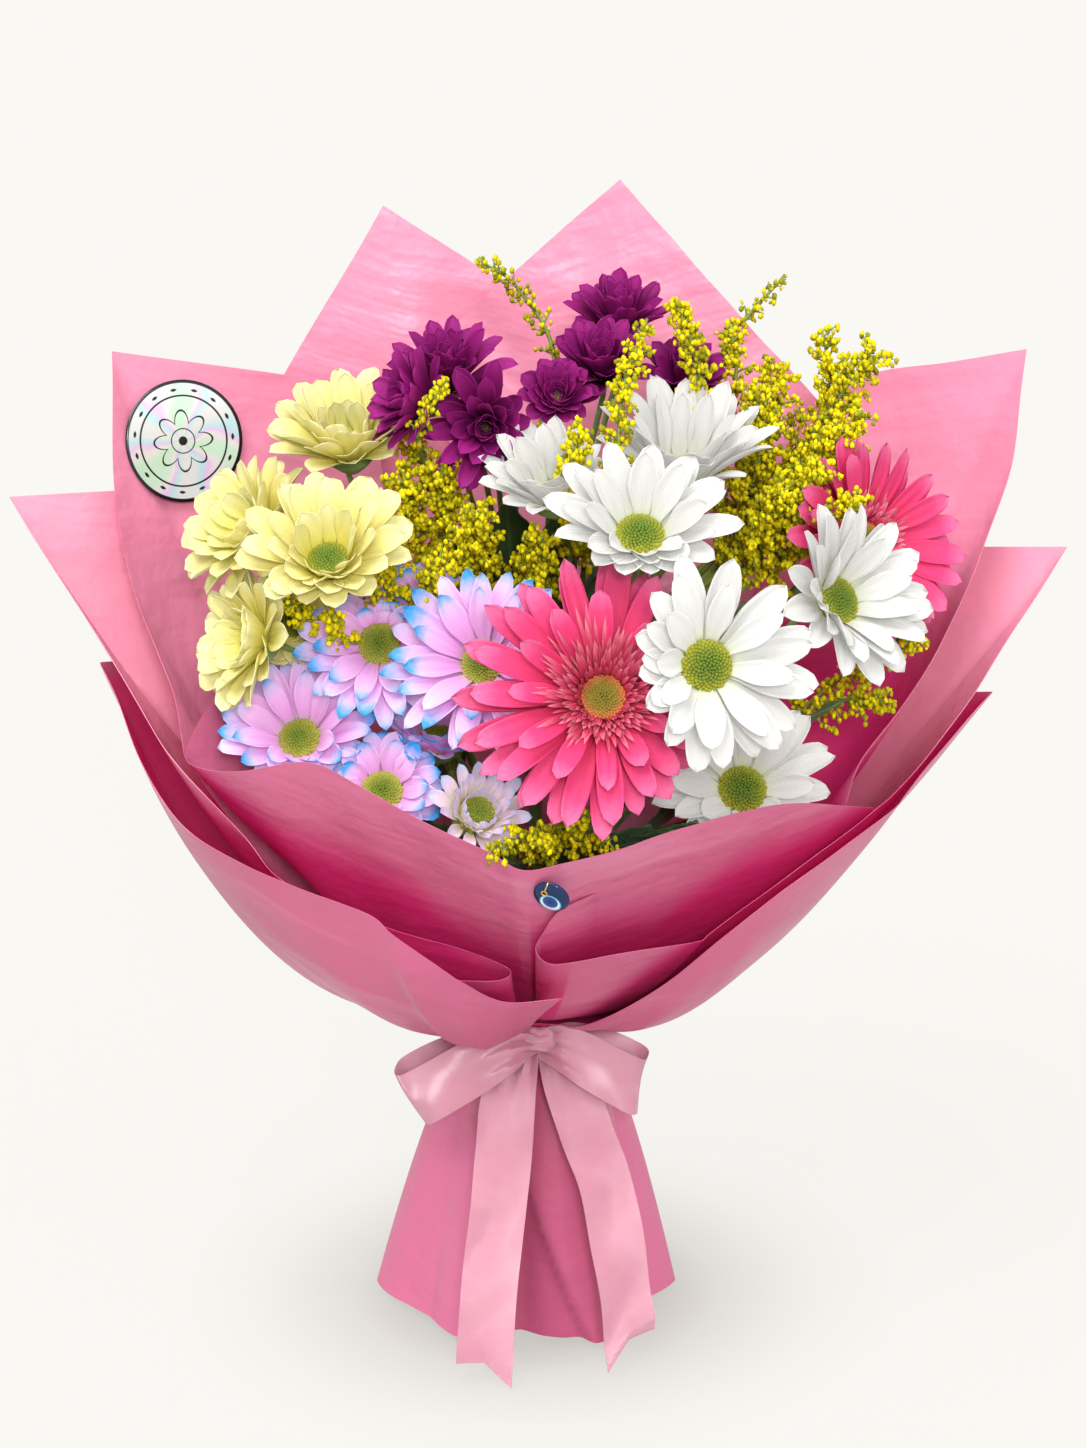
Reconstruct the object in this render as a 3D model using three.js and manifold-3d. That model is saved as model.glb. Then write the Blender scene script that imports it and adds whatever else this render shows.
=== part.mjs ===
// A hand-tied bouquet of mixed flowers: gerberas, spray chrysanthemums and goldenrod,
// wrapped in pink film and tied with satin ribbon. It stands on its level-cut stems.
// Millimetres, +Z up. The origin is the cut end of the middle stem; the front faces -Y.

import * as THREE from 'three';
import { mergeVertices } from 'three/addons/utils/BufferGeometryUtils.js';
import Module from 'manifold-3d';

const wasm = await Module();
wasm.setup();

// ---- driving dimensions -------------------------------------------------------------------

const FILM = 0.9;                  // thickness of a wrapping sheet
const TIE_TOP = 141;               // the film is gathered between these two heights
const TIE_BOTTOM = 125;
const OUTER_NECK = 29.4;           // the outermost sheet where it is tied
const BUNDLE_RADIUS = 16.5;        // the stems where they are bound
const STEM_SPREAD = 0.3;           // sideways lean of a stem per millimetre of height
const BINDING_HEIGHT = 133;        // where the spiral of stems is narrowest
const RIBBON_WIDTH = 25;
const RIBBON_THICKNESS = 0.8;
const PETAL = 0.8;                 // thickness of a petal
const LAYER_STEP = 1.5;            // height between two layers of petals
const FIT = 0.35;                  // clearance between a disc and its petals
const STICKER_RADIUS = 27;
const BEAD_RADIUS = 7.5;

const bouquet = new THREE.Group();

// ---- shared tools -------------------------------------------------------------------------

const rad = THREE.MathUtils.degToRad;
const vec = (x, y, z) => new THREE.Vector3(x, y, z);

function material(colour, roughness, metalness = 0) {
  return new THREE.MeshStandardMaterial({ color: colour, roughness, metalness });
}

const FILM_PINK = material(0xe87fa8, 0.35);
const SATIN = material(0xe6a0b4, 0.3);
const TWINE = material(0xd9c9a3, 0.9);
const GREEN = material(0x6f8a2c, 0.7);
const GOLDENROD = material(0xd8c41e, 0.8);
const WHITE_PETAL = material(0xf6f5ee, 0.6);
const CREAM_PETAL = material(0xf5ef9c, 0.6);
const LILAC_PETAL = material(0xd9a8e0, 0.6);
const PURPLE_PETAL = material(0x6e1060, 0.6);
const PINK_PETAL = material(0xf0507f, 0.6);
const SILVER = material(0xd5d8e0, 0.25, 0.6);
const BLUE_GLASS = material(0x1c3f86, 0.15);
const GOLD = material(0xd9b44a, 0.3, 1);

function place(name, geometry, finish) {
  const mesh = new THREE.Mesh(geometry, finish);
  mesh.name = name;
  bouquet.add(mesh);
  return mesh;
}

// numbers between 0 and 1 that are the same on every run
function seeded(seed) {
  let state = seed;
  return () => {
    state = (state + 0x6d2b79f5) | 0;
    let t = Math.imul(state ^ (state >>> 15), 1 | state);
    t = (t + Math.imul(t ^ (t >>> 7), 61 | t)) ^ t;
    return ((t ^ (t >>> 14)) >>> 0) / 4294967296;
  };
}

function toSolid(geometry) {
  const bare = geometry.clone();
  bare.deleteAttribute('normal');
  bare.deleteAttribute('uv');
  const merged = mergeVertices(bare, 1e-4);
  return new wasm.Manifold(new wasm.Mesh({
    numProp: 3,
    vertProperties: new Float32Array(merged.attributes.position.array),
    triVerts: new Uint32Array(merged.index.array),
  }));
}

function toGeometry(solid) {
  const mesh = solid.getMesh();
  const geometry = new THREE.BufferGeometry();
  geometry.setAttribute('position', new THREE.Float32BufferAttribute(mesh.vertProperties, 3));
  geometry.setIndex(Array.from(mesh.triVerts));
  geometry.computeVertexNormals();
  return geometry;
}

function join(geometries) {
  return geometries.map(toSolid).reduce((whole, piece) => whole.add(piece));
}

// a closed body collected one corner and one face at a time
function makeBody() {
  const corners = [];
  const faces = [];
  const body = {
    corner: (point) => corners.push(point.x, point.y, point.z) / 3 - 1,
    face: (a, b, c) => faces.push(a, b, c),
    quad: (a, b, c, d) => faces.push(a, b, c, a, c, d),
    geometry: () => {
      const geometry = new THREE.BufferGeometry();
      geometry.setAttribute('position', new THREE.Float32BufferAttribute(corners, 3));
      geometry.setIndex(faces);
      geometry.computeVertexNormals();
      return geometry;
    },
  };
  return body;
}

// a tube along a curve, with a regular polygon as its section
function tube(curve, radius, sides, steps) {
  const corners = [];
  for (let i = 0; i < sides; i += 1) {
    const angle = (i / sides) * Math.PI * 2;
    corners.push(new THREE.Vector2(radius * Math.cos(angle), radius * Math.sin(angle)));
  }
  return new THREE.ExtrudeGeometry(new THREE.Shape(corners), {
    steps, extrudePath: curve, bevelEnabled: false, curveSegments: 1,
  });
}

// ---- wrapping film ------------------------------------------------------------------------
// Each sheet is a fan of ribs. A rib leaves the tie and bellies out to a point on the sheet's
// cut edge. Four sheets also run on below the tie and flare into the skirt.

const BOWL_STATIONS = [0.16, 0.42, 0.7, 1];
const SKIRT_STATIONS = [1, 0.55, 0.16];
const SKIRT_CURVE = 0.7;
const HEM_HEIGHT = 4;

// hem radius round the skirt by azimuth (0 = +X, -90 = the front), which makes its pleats
const HEM = [
  [-180, 72], [-157, 64], [-142, 62], [-123, 66], [-97, 62], [-87, 69], [-78, 72], [-67, 71],
  [-45, 64], [-21, 57], [0, 65], [30, 60], [60, 68], [90, 61], [120, 69], [150, 62], [180, 72],
];

function hemRadius(azimuth) {
  const next = HEM.findIndex(([angle]) => angle >= azimuth);
  if (next <= 0) return HEM[0][1];
  const [a0, r0] = HEM[next - 1];
  const [a1, r1] = HEM[next];
  return THREE.MathUtils.mapLinear(azimuth, a0, a1, r0, r1);
}

function polar(azimuth, radius, height) {
  return vec(radius * Math.cos(azimuth), radius * Math.sin(azimuth), height);
}

function rib([x, y, z, ownBelly], { belly, skirtGap }, neck) {
  const azimuth = Math.atan2(y, x);
  const reach = Math.hypot(x, y) - neck;
  const curve = Math.sqrt(ownBelly ?? belly);
  const inset = OUTER_NECK - neck;
  const [bottom, top] = [TIE_BOTTOM - inset / 2, TIE_TOP + inset];
  const points = [];
  if (skirtGap !== undefined) {
    const hem = hemRadius(THREE.MathUtils.radToDeg(azimuth)) - skirtGap;
    for (const s of SKIRT_STATIONS) {
      const radius = neck + (hem - neck) * s ** SKIRT_CURVE;
      points.push(polar(azimuth, radius, THREE.MathUtils.lerp(bottom, HEM_HEIGHT, s)));
    }
  }
  points.push(polar(azimuth, neck, bottom), polar(azimuth, neck, top));
  for (const t of BOWL_STATIONS) {
    const height = top + (z - top) * t ** (1 / curve);
    points.push(polar(azimuth, neck + reach * t ** curve, height));
  }
  return points;
}

function sheet(name, shape) {
  const last = shape.rim.length - 1;
  const [neckStart, neckEnd] = shape.neck;
  const ribs = shape.rim.map((point, i) =>
    rib(point, shape, THREE.MathUtils.lerp(neckStart, neckEnd, i / last)));
  const rows = ribs[0].length;
  const body = makeBody();
  const sides = ribs.map((points, i) => points.map((point, j) => {
    const along = ribs[Math.min(i + 1, last)][j].clone().sub(ribs[Math.max(i - 1, 0)][j]);
    const up = points[Math.min(j + 1, rows - 1)].clone().sub(points[Math.max(j - 1, 0)]);
    const out = along.cross(up).normalize().multiplyScalar(FILM / 2);
    return [body.corner(point.clone().add(out)), body.corner(point.clone().sub(out))];
  }));
  for (let i = 0; i < last; i += 1) {
    for (let j = 0; j < rows - 1; j += 1) {
      const [a, b, c, d] = [sides[i][j], sides[i + 1][j], sides[i + 1][j + 1], sides[i][j + 1]];
      body.quad(a[0], b[0], c[0], d[0]);
      body.face(a[1], c[1], b[1]);
      body.face(a[1], d[1], c[1]);
      if (j === 0) body.quad(b[0], a[0], a[1], b[1]);
      if (j === rows - 2) body.quad(d[0], c[0], c[1], d[1]);
      if (i === 0) body.quad(a[0], d[0], d[1], a[1]);
      if (i === last - 1) body.quad(c[0], b[0], b[1], c[1]);
    }
  }
  return place(name, body.geometry(), FILM_PINK);
}

// rim points run anticlockwise seen from above; a fourth number is that rib's own belly
sheet('paper_back_left', {
  belly: 0.52, neck: [24.6, 24.6], skirtGap: 5,
  rim: [
    [33.5, 104, 418], [8, 107, 434], [-15, 108, 449], [-43, 109, 467], [-70, 110, 484],
    [-93, 106, 446], [-115, 100, 408], [-137, 92, 370],
  ],
});

sheet('paper_back_right', {
  belly: 0.62, neck: [22.6, 22.6], skirtGap: 7.4,
  rim: [
    [137, 80, 389], [108, 92, 420], [72, 98, 460], [37, 102, 496.5], [11, 100, 474],
    [-15, 97, 451], [-43, 92, 427],
  ],
});

const stickerSheet = sheet('paper_left', {
  belly: 0.55, neck: [22.6, 22.6],
  rim: [
    [-75, 86, 405], [-113, 70, 415], [-150, 58, 423], [-185.5, 45, 431], [-182, 22, 382.5],
    [-173.5, 0, 337.5], [-164, -16, 313], [-155, -28, 294], [-149, -42, 273],
  ],
});

sheet('paper_right', {
  belly: 0.6, neck: [20.6, 20.6],
  rim: [
    [131.5, -60, 256.5], [139.5, -50, 275], [161, -32, 295], [182.5, -12, 324],
    [197, 8, 353], [208.5, 25, 384], [214.5, 45, 432], [180, 58, 423], [147, 70, 415],
    [120, 70, 400],
  ],
});

sheet('paper_left_mid', {
  belly: 0.5, neck: [24.8, 25.6],
  rim: [
    [-150, 55, 367.5], [-183.5, 35, 370.5], [-226.5, 15, 373, 0.62], [-206.5, 0, 344, 0.58],
    [-182, -22, 309], [-165, -40, 288.5], [-148.5, -62, 273], [-124, -75, 248],
    [-110, -84, 233], [-87, -90, 223], [-60, -92, 212], [-33, -90, 203], [-15, -85, 194],
    [-10.5, -89, 191.5], [-16, -95, 190.5], [-28, -99, 191],
  ],
});

sheet('paper_right_mid', {
  belly: 0.6, neck: [24.4, 24.8],
  rim: [
    [29, -107, 230], [10, -103.5, 222], [3.5, -99, 214], [0, -95, 205], [5, -98, 200],
    [16, -100, 201], [38.5, -100, 205], [68, -95, 208], [75, -93, 212], [111.5, -87, 239, 0.54],
    [145, -65, 257.5, 0.5], [153.5, -56, 261.5, 0.5], [174, -36, 277, 0.53], [192, -18, 295, 0.57],
    [214, 0, 323, 0.64], [234, 15, 350.5, 0.68], [200, 35, 345], [163, 55, 340],
  ],
});

sheet('paper_front', {
  belly: 0.64, neck: [20.6, 22.6],
  rim: [
    [-133.5, -34, 300, 0.6], [-143, -46, 289, 0.56], [-147.5, -54, 277, 0.52],
    [-141, -67, 276, 0.5], [-124.5, -84, 280, 0.45], [-95, -100, 289, 0.5],
    [-72, -108, 281, 0.56], [-41.5, -114, 266.5], [-19, -117, 256], [-5.5, -118, 249],
    [11, -118, 252], [38, -116, 258], [64, -112, 265], [102, -102, 272],
    [129.5, -84, 265, 0.6], [144.5, -61, 256, 0.62],
  ],
});

sheet('paper_left_outer', {
  belly: 0.38, neck: [OUTER_NECK, OUTER_NECK], skirtGap: 0,
  rim: [
    [-60, 125, 240, 0.5], [-110, 105, 262, 0.48], [-160, 60, 280, 0.44], [-186, 13, 291, 0.4],
    [-189, -8, 303.5], [-180, -28, 293], [-167.5, -47, 272], [-149, -67, 250],
    [-125.5, -85, 240], [-102, -97, 233.5], [-70.5, -108, 225.5], [-59, -110, 216],
    [-34, -107, 196], [-14, -100, 183], [11, -95, 182.5], [17, -83, 172.5],
  ],
});

sheet('paper_right_outer', {
  belly: 0.48, neck: [27.2, 27.2], skirtGap: 2.4,
  rim: [
    [-4, -42, 149], [8, -44, 149.5], [20, -52, 152], [39, -77, 171], [58, -93, 190.5],
    [76, -103, 210.5], [91, -104, 224], [111, -99, 238.5], [147, -76, 258], [157, -63, 263],
    [173, -41, 273.5], [194.5, -17, 288.5], [200, -6, 290.5], [188, 15, 285],
    [165, 62, 280], [112, 105, 262], [60, 125, 240],
  ],
});

// ---- binding and ribbon -------------------------------------------------------------------

function ring(name, inner, outer, bottom, top, segments, finish) {
  const section = [
    [inner, bottom], [outer, bottom], [outer, top], [inner, top], [inner, bottom],
  ];
  const points = section.map(([x, y]) => new THREE.Vector2(x, y));
  const geometry = new THREE.LatheGeometry(points, segments).rotateX(Math.PI / 2);
  return place(name, toGeometry(toSolid(geometry)), finish);
}

ring('binding_twine', BUNDLE_RADIUS + 0.4, BUNDLE_RADIUS + 3, 129, 138, 16, TWINE);
ring('ribbon_band', 30.3, 30.3 + RIBBON_THICKNESS, 125.5, 138.5, 24, SATIN);

// a strip of ribbon: [centre, half width, direction across] at each station
function strip(stations) {
  const body = makeBody();
  const last = stations.length - 1;
  const rings = stations.map(([centre, half, across], i) => {
    const ahead = stations[Math.min(i + 1, last)][0].clone()
      .sub(stations[Math.max(i - 1, 0)][0]);
    const side = across.clone().normalize().multiplyScalar(half);
    const face = side.clone().cross(ahead).normalize().multiplyScalar(RIBBON_THICKNESS / 2);
    return [[-1, -1], [1, -1], [1, 1], [-1, 1]].map(([s, f]) => body.corner(
      centre.clone().addScaledVector(side, s).addScaledVector(face, f)));
  });
  for (let i = 0; i < last; i += 1) {
    const [near, far] = [rings[i], rings[i + 1]];
    body.quad(near[0], far[0], far[1], near[1]);
    body.quad(near[1], far[1], far[2], near[2]);
    body.quad(far[2], far[3], near[3], near[2]);
    body.quad(near[3], far[3], far[0], near[0]);
  }
  const [first, end] = [rings[0], rings[last]];
  body.quad(...first);
  body.quad(...end.slice().reverse());
  return body.geometry();
}

const KNOT = vec(1, -39.8, 133.5);
const HALF = RIBBON_WIDTH / 2;

// a bow loop leaves the knot, turns round at its outer end and comes back behind itself
function bowLoop(length, lean) {
  const run = [
    [0.02, 0, 0, 5], [0.22, -6, -1.5, 8], [0.5, -9, -7, 11.5], [0.8, -8, -15, HALF],
    [0.97, -4.5, -19, HALF], [1, 1, -19, HALF], [0.9, 4.5, -15, HALF], [0.63, 4, -8, HALF],
    [0.3, 1.5, -2, 9], [0.06, 1, 0, 5],
  ];
  return strip(run.map(([share, y, z, half]) =>
    [vec(KNOT.x + share * length, KNOT.y + y, KNOT.z + z), half, vec(lean * share, 0, 1)]));
}

// a tail hangs off the knot, runs down clear of the skirt and ends on the table
function bowTail(run) {
  return strip(run.map(([x, y, z, half, turn]) => [vec(x, y, z), half, vec(1, turn, 0)]));
}

const knotBody = new THREE.SphereGeometry(1, 8, 5).scale(9.5, 6, 7)
  .translate(KNOT.x, KNOT.y, KNOT.z);
const bow = join([
  knotBody, bowLoop(-57, -0.6), bowLoop(48, 0.24),
  bowTail([
    [-2, -40.5, 134, 6, 0], [-8, -48, 118, HALF, 0], [-14, -57, 96, HALF, 0.05],
    [-19, -68, 72, HALF, 0.1], [-22, -80, 45, HALF, 0.1], [-23, -90, 20, HALF, 0.1],
    [-23, -97.5, 3.5, HALF, 0.1],
  ]),
  bowTail([
    [4, -40.5, 134, 6, 0], [12, -46, 118, HALF, 0], [22, -54, 100, HALF, 0.1],
    [31, -63, 80, HALF, 0.3], [37, -71, 50, HALF, 0.4], [41, -79, 22, HALF, 0.5],
    [42.5, -85, 3.5, HALF, 0.5],
  ]),
]);
place('ribbon_bow', toGeometry(bow), SATIN);

// ---- sticker and charm --------------------------------------------------------------------

const STICKER_GAP = 0.3;
const STICKER_THICKNESS = 0.6;

// the sticker is laid on the sheet: each of its points is dropped onto the film
function drapedDisc(onto, x, z, radius) {
  const caster = new THREE.Raycaster();
  onto.updateMatrixWorld(true);
  caster.set(vec(x, -200, z), vec(0, 1, 0));
  const middle = caster.intersectObject(onto)[0];
  const up = middle.face.normal.clone();
  const right = vec(0, 0, 1).cross(up).normalize();
  const ahead = up.clone().cross(right);
  const body = makeBody();
  const drop = (x, y) => {
    const from = middle.point.clone().addScaledVector(up, 30)
      .addScaledVector(right, x).addScaledVector(ahead, y);
    caster.set(from, up.clone().negate());
    const spot = caster.intersectObject(onto)[0].point;
    return [STICKER_GAP + STICKER_THICKNESS, STICKER_GAP]
      .map((height) => body.corner(spot.clone().addScaledVector(up, height)));
  };
  const hub = drop(0, 0);
  const edge = [...Array(16).keys()].map((i) => {
    const angle = (i / 16) * Math.PI * 2;
    return [radius / 2, radius].map((r) => drop(r * Math.cos(angle), r * Math.sin(angle)));
  });
  edge.forEach(([inner, outer], i) => {
    const [nextInner, nextOuter] = edge[(i + 1) % edge.length];
    body.face(hub[0], inner[0], nextInner[0]);
    body.face(hub[1], nextInner[1], inner[1]);
    body.quad(inner[0], outer[0], nextOuter[0], nextInner[0]);
    body.face(inner[1], nextOuter[1], outer[1]);
    body.face(inner[1], nextInner[1], nextOuter[1]);
    body.quad(outer[1], nextOuter[1], nextOuter[0], outer[0]);
  });
  return body.geometry();
}

place('sticker', drapedDisc(stickerSheet, -156, 386, STICKER_RADIUS), SILVER);

function turned(points, segments) {
  return new THREE.LatheGeometry(points.map(([x, y]) => new THREE.Vector2(x, y)), segments)
    .rotateX(Math.PI / 2);
}

const BEAD_CENTRE = vec(6.8, -114.2, 237);
const BEAD_FACING = vec(0, -0.97, -0.24).normalize();
const beadTurn = new THREE.Quaternion().setFromUnitVectors(vec(0, 0, 1), BEAD_FACING);
const bead = place('charm_bead', turned([
  [1, -1.5], [BEAD_RADIUS - 1.5, -1.5], [BEAD_RADIUS, 0], [BEAD_RADIUS - 1.5, 1.5], [1, 1.5],
  [1, -1.5],
], 14), BLUE_GLASS);
bead.position.copy(BEAD_CENTRE);
bead.quaternion.copy(beadTurn);
const pin = place('charm_pin', toGeometry(join([
  turned([[0, -1.5], [0.6, -1.5], [0.6, 2.2], [0, 2.2]], 6),
  turned([[0, 1.9], [2.2, 1.9], [2.2, 2.7], [0, 2.7]], 10),
])), GOLD);
pin.position.copy(BEAD_CENTRE);
pin.quaternion.copy(beadTurn);

// ---- flower heads -------------------------------------------------------------------------
// A head is a ring of petals in layers, the innermost steepest. The green disc and the calyx
// belong to the stem and pass through the ring's hole.

const RING = 1.6;                  // width of the solid ring that the petals grow from

const WHITE_DAISY = {
  disc: 10.5, dome: 4, petals: 8, width: 11.5, finish: WHITE_PETAL,
  layers: [{ cup: 20, reach: 0.96 }, { cup: 6, reach: 1 }],
};
const CREAM_DAISY = {
  disc: 9.5, dome: 4, petals: 8, width: 11, finish: CREAM_PETAL,
  layers: [{ cup: 30, reach: 0.94 }, { cup: 14, reach: 1 }],
};
const LILAC_DAISY = {
  disc: 9, dome: 3.5, petals: 7, width: 11, finish: LILAC_PETAL,
  layers: [{ cup: 24, reach: 0.94 }, { cup: 8, reach: 1 }],
};
const PURPLE_DOUBLE = {
  disc: 3.2, dome: 2, petals: 5, width: 9.5, finish: PURPLE_PETAL,
  layers: [{ cup: 72, reach: 0.86 }, { cup: 54, reach: 0.95 }, { cup: 36, reach: 1 }],
};
const GERBERA = {
  disc: 9.5, dome: 2, petals: 13, width: 10.5, finish: PINK_PETAL,
  layers: [
    { cup: 62, reach: 0.34, narrow: 0.3 }, { cup: 40, reach: 0.46, narrow: 0.35 },
    { cup: 18, reach: 0.96 }, { cup: 8, reach: 1 },
  ],
};
const GERBERA_TURNED = { ...GERBERA, layers: GERBERA.layers.slice(2) };

// kind, place of the ring's middle, turn to the right and tilt upwards in degrees, reach; and
// where a neighbour crowds a head, the side whose petals are shorter and by what share
const HEADS = {
  gerbera_front: [GERBERA, [27.7, -104, 319], 4, 28, 54, [12, 0.36]],
  gerbera_right: [GERBERA_TURNED, [140, -28, 364], 42, 24, 47],
  daisy_white_1: [WHITE_DAISY, [66.5, -16, 395], 4, 50, 39],
  daisy_white_2: [WHITE_DAISY, [43, -84, 382], 4, 48, 42],
  daisy_white_3: [WHITE_DAISY, [69, -124, 339], 12, 16, 46],
  daisy_white_4: [WHITE_DAISY, [125, -74, 351.5], 30, 26, 39],
  daisy_white_5: [WHITE_DAISY, [87.5, -64, 265], 8, 34, 33],
  daisy_white_6: [WHITE_DAISY, [11, -27, 388], -36, 34, 27, [0, 0.3]],
  daisy_cream_1: [CREAM_DAISY, [-79.5, -8, 399.5], -10, 56, 36, [-30, 0.2]],
  daisy_cream_2: [CREAM_DAISY, [-119.5, -27, 368], -40, 40, 34],
  daisy_cream_3: [CREAM_DAISY, [-86, -66, 366], -20, 42, 39],
  daisy_cream_4: [CREAM_DAISY, [-118, -52, 327.5], -48, 20, 31],
  daisy_cream_5: [CREAM_DAISY, [-109, -24, 327], -5, 30, 20],
  daisy_lilac_1: [LILAC_DAISY, [-100, -56, 285], -12, 40, 36, [90, 0.16]],
  daisy_lilac_2: [LILAC_DAISY, [-66, -50, 325.5], -6, 24, 34, [75, 0.45]],
  daisy_lilac_3: [LILAC_DAISY, [-22, -70, 323], -10, 26, 38],
  daisy_lilac_4: [LILAC_DAISY, [-65, -70, 266], 0, 24, 28, [135, 0.4]],
  daisy_lilac_5: [LILAC_DAISY, [-25, -86, 261.5], 24, 22, 25],
  daisy_lilac_6: [LILAC_DAISY, [-106, -6, 293.5], -14, 36, 31],
  daisy_lilac_7: [LILAC_DAISY, [-42, -44, 282], 0, 36, 27],
  daisy_lilac_8: [LILAC_DAISY, [-50, -30, 337], 0, 56, 20],
  chrysanthemum_purple_1: [PURPLE_DOUBLE, [35.5, 33, 443], 4, 70, 26],
  chrysanthemum_purple_2: [PURPLE_DOUBLE, [-37, 10, 424], -6, 62, 27],
  chrysanthemum_purple_3: [PURPLE_DOUBLE, [-20.5, -20, 413.5], 0, 16, 30],
  chrysanthemum_purple_4: [PURPLE_DOUBLE, [27.5, 0, 432], 0, 50, 24],
  chrysanthemum_purple_5: [PURPLE_DOUBLE, [-47, -20, 422.5], -62, 24, 25],
  chrysanthemum_purple_6: [PURPLE_DOUBLE, [64.5, 24, 428], 10, 55, 23],
  chrysanthemum_purple_7: [PURPLE_DOUBLE, [9, -18, 423], 0, 40, 17],
};

function facing(turn, tilt) {
  const [t, e] = [rad(turn), rad(tilt)];
  return vec(Math.sin(t) * Math.cos(e), -Math.cos(t) * Math.cos(e), Math.sin(e));
}

function petalRing({ disc, petals, width, layers }, reach, [shortSide, shortBy], seed) {
  const random = seeded(seed);
  const body = makeBody();
  const step = (Math.PI * 2) / petals;
  const hole = (disc + FIT) / Math.cos(step / 2);
  const root = hole + RING;
  const circle = (radius, height, phase) => [...Array(petals).keys()].map((k) =>
    body.corner(polar((k + phase) * step, radius, height)));
  const wrap = (k) => (k + petals) % petals;

  const built = layers.map(({ cup, reach: share, narrow = 1 }, l) => {
    const phase = l / 2;
    const height = -l * LAYER_STEP;
    const lean = rad(cup);
    const [rise, spread] = [Math.cos(lean) * PETAL / 2, Math.sin(lean) * PETAL / 2];
    const upper = circle(root - spread, height + rise, phase);
    const lower = circle(root + spread, height - rise, phase);
    const length = reach * share - root;
    for (let k = 0; k < petals; k += 1) {
      const c = rad(cup + (random() - 0.5) * 7);
      const tipCup = c - rad(8);
      const angle = (k + phase + 0.5) * step;
      const crowded = Math.max(0, Math.cos(angle - rad(shortSide))) * shortBy;
      const own = length * (1 - crowded) * (1 + (random() - 0.5) * 0.14);
      const at = (along, across, cupping, from) => {
        const radius = from.radius + along * Math.cos(cupping);
        const z = from.z + along * Math.sin(cupping);
        const turn = angle + Math.atan2(across, radius);
        return [1, -1].map((sign) => body.corner(polar(turn,
          radius - sign * Math.sin(cupping) * PETAL / 2,
          z + sign * Math.cos(cupping) * PETAL / 2)));
      };
      const middle = own * 0.6;
      const middleRadius = root + middle * Math.cos(c);
      const room = middleRadius * Math.sin(step / 2) - 0.25;
      const half = Math.min((width * narrow) / 2, room);
      const start = { radius: root, z: height };
      const right = at(middle, -half, c, start);
      const left = at(middle, half, c, start);
      const bend = { radius: middleRadius, z: height + middle * Math.sin(c) };
      const tip = at(own - middle, 0, tipCup, bend);
      const next = wrap(k + 1);
      const outline = [[upper[k], lower[k]], right, tip, left, [upper[next], lower[next]]];
      const [a, b, t, d, e] = outline;
      body.face(a[0], b[0], d[0]);
      body.face(a[0], d[0], e[0]);
      body.face(b[0], t[0], d[0]);
      body.face(a[1], d[1], b[1]);
      body.face(a[1], e[1], d[1]);
      body.face(b[1], d[1], t[1]);
      for (let i = 0; i < 4; i += 1) {
        const [p, q] = [outline[i], outline[i + 1]];
        body.quad(p[1], q[1], q[0], p[0]);
      }
    }
    return { upper, lower };
  });

  // the ring itself: a strip between each two layers, its top, its underside and its hole
  for (let l = 0; l + 1 < built.length; l += 1) {
    const [above, below] = [built[l].lower, built[l + 1].upper];
    for (let k = 0; k < petals; k += 1) {
      body.face(below[k], above[wrap(k + 1)], above[k]);
      body.face(below[k], below[wrap(k + 1)], above[wrap(k + 1)]);
    }
  }
  const end = layers.length - 1;
  const top = circle(hole, PETAL / 2, 0);
  const bottom = circle(hole, -end * LAYER_STEP - PETAL / 2, end / 2);
  const shift = Math.floor(end / 2);
  for (let k = 0; k < petals; k += 1) {
    const next = wrap(k + 1);
    body.quad(top[k], built[0].upper[k], built[0].upper[next], top[next]);
    body.quad(bottom[k], bottom[next], built[end].lower[next], built[end].lower[k]);
    const [low, lowNext] = [bottom[wrap(k - shift)], bottom[wrap(k - shift + 1)]];
    body.face(top[k], top[next], low);
    body.face(top[next], lowNext, low);
  }
  return body.geometry();
}

Object.entries(HEADS).forEach(([name, [kind, at, turn, tilt, reach, short = [0, 0]]], i) => {
  const head = place(name, petalRing(kind, reach, short, 11 + i), kind.finish);
  head.position.set(...at);
  head.quaternion.setFromUnitVectors(vec(0, 0, 1), facing(turn, tilt));
});

// ---- stems --------------------------------------------------------------------------------
// The stems stand in a spiral: each is a straight line that passes the binding at its own
// place. Above the binding a spray divides, and each branch ends in a calyx and a disc.

const STEM = 2.6;
const BRANCH = 1.4;
const OUTER = { radius: 12.6, count: 9, first: 26 };
const INNER = { radius: 6.3, count: 4, first: 60 };
const MIDDLE = { radius: 0, count: 1, first: 0 };

// The lean grows with a stem's distance from the middle, so that no two stems meet.
function stemPoint([ring, slot], height) {
  const angle = rad(ring.first + (slot * 360) / ring.count);
  const away = ((height - BINDING_HEIGHT) * STEM_SPREAD * ring.radius) / OUTER.radius;
  return vec(ring.radius * Math.cos(angle) - away * Math.sin(angle),
    ring.radius * Math.sin(angle) + away * Math.cos(angle), height);
}

function mainStem(slot, top, radius) {
  const line = new THREE.LineCurve3(stemPoint(slot, -4), stemPoint(slot, top));
  return toSolid(tube(line, radius, 6, 1)).trimByPlane([0, 0, 1], 0);
}

function calyxAndDisc({ disc, dome, layers }) {
  const under = -(layers.length - 1) * LAYER_STEP - PETAL / 2 - FIT;
  return turned([
    [0, under - 8], [disc + RING, under], [disc, under], [disc, 0.9], [0, dome],
  ], 6);
}

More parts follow.
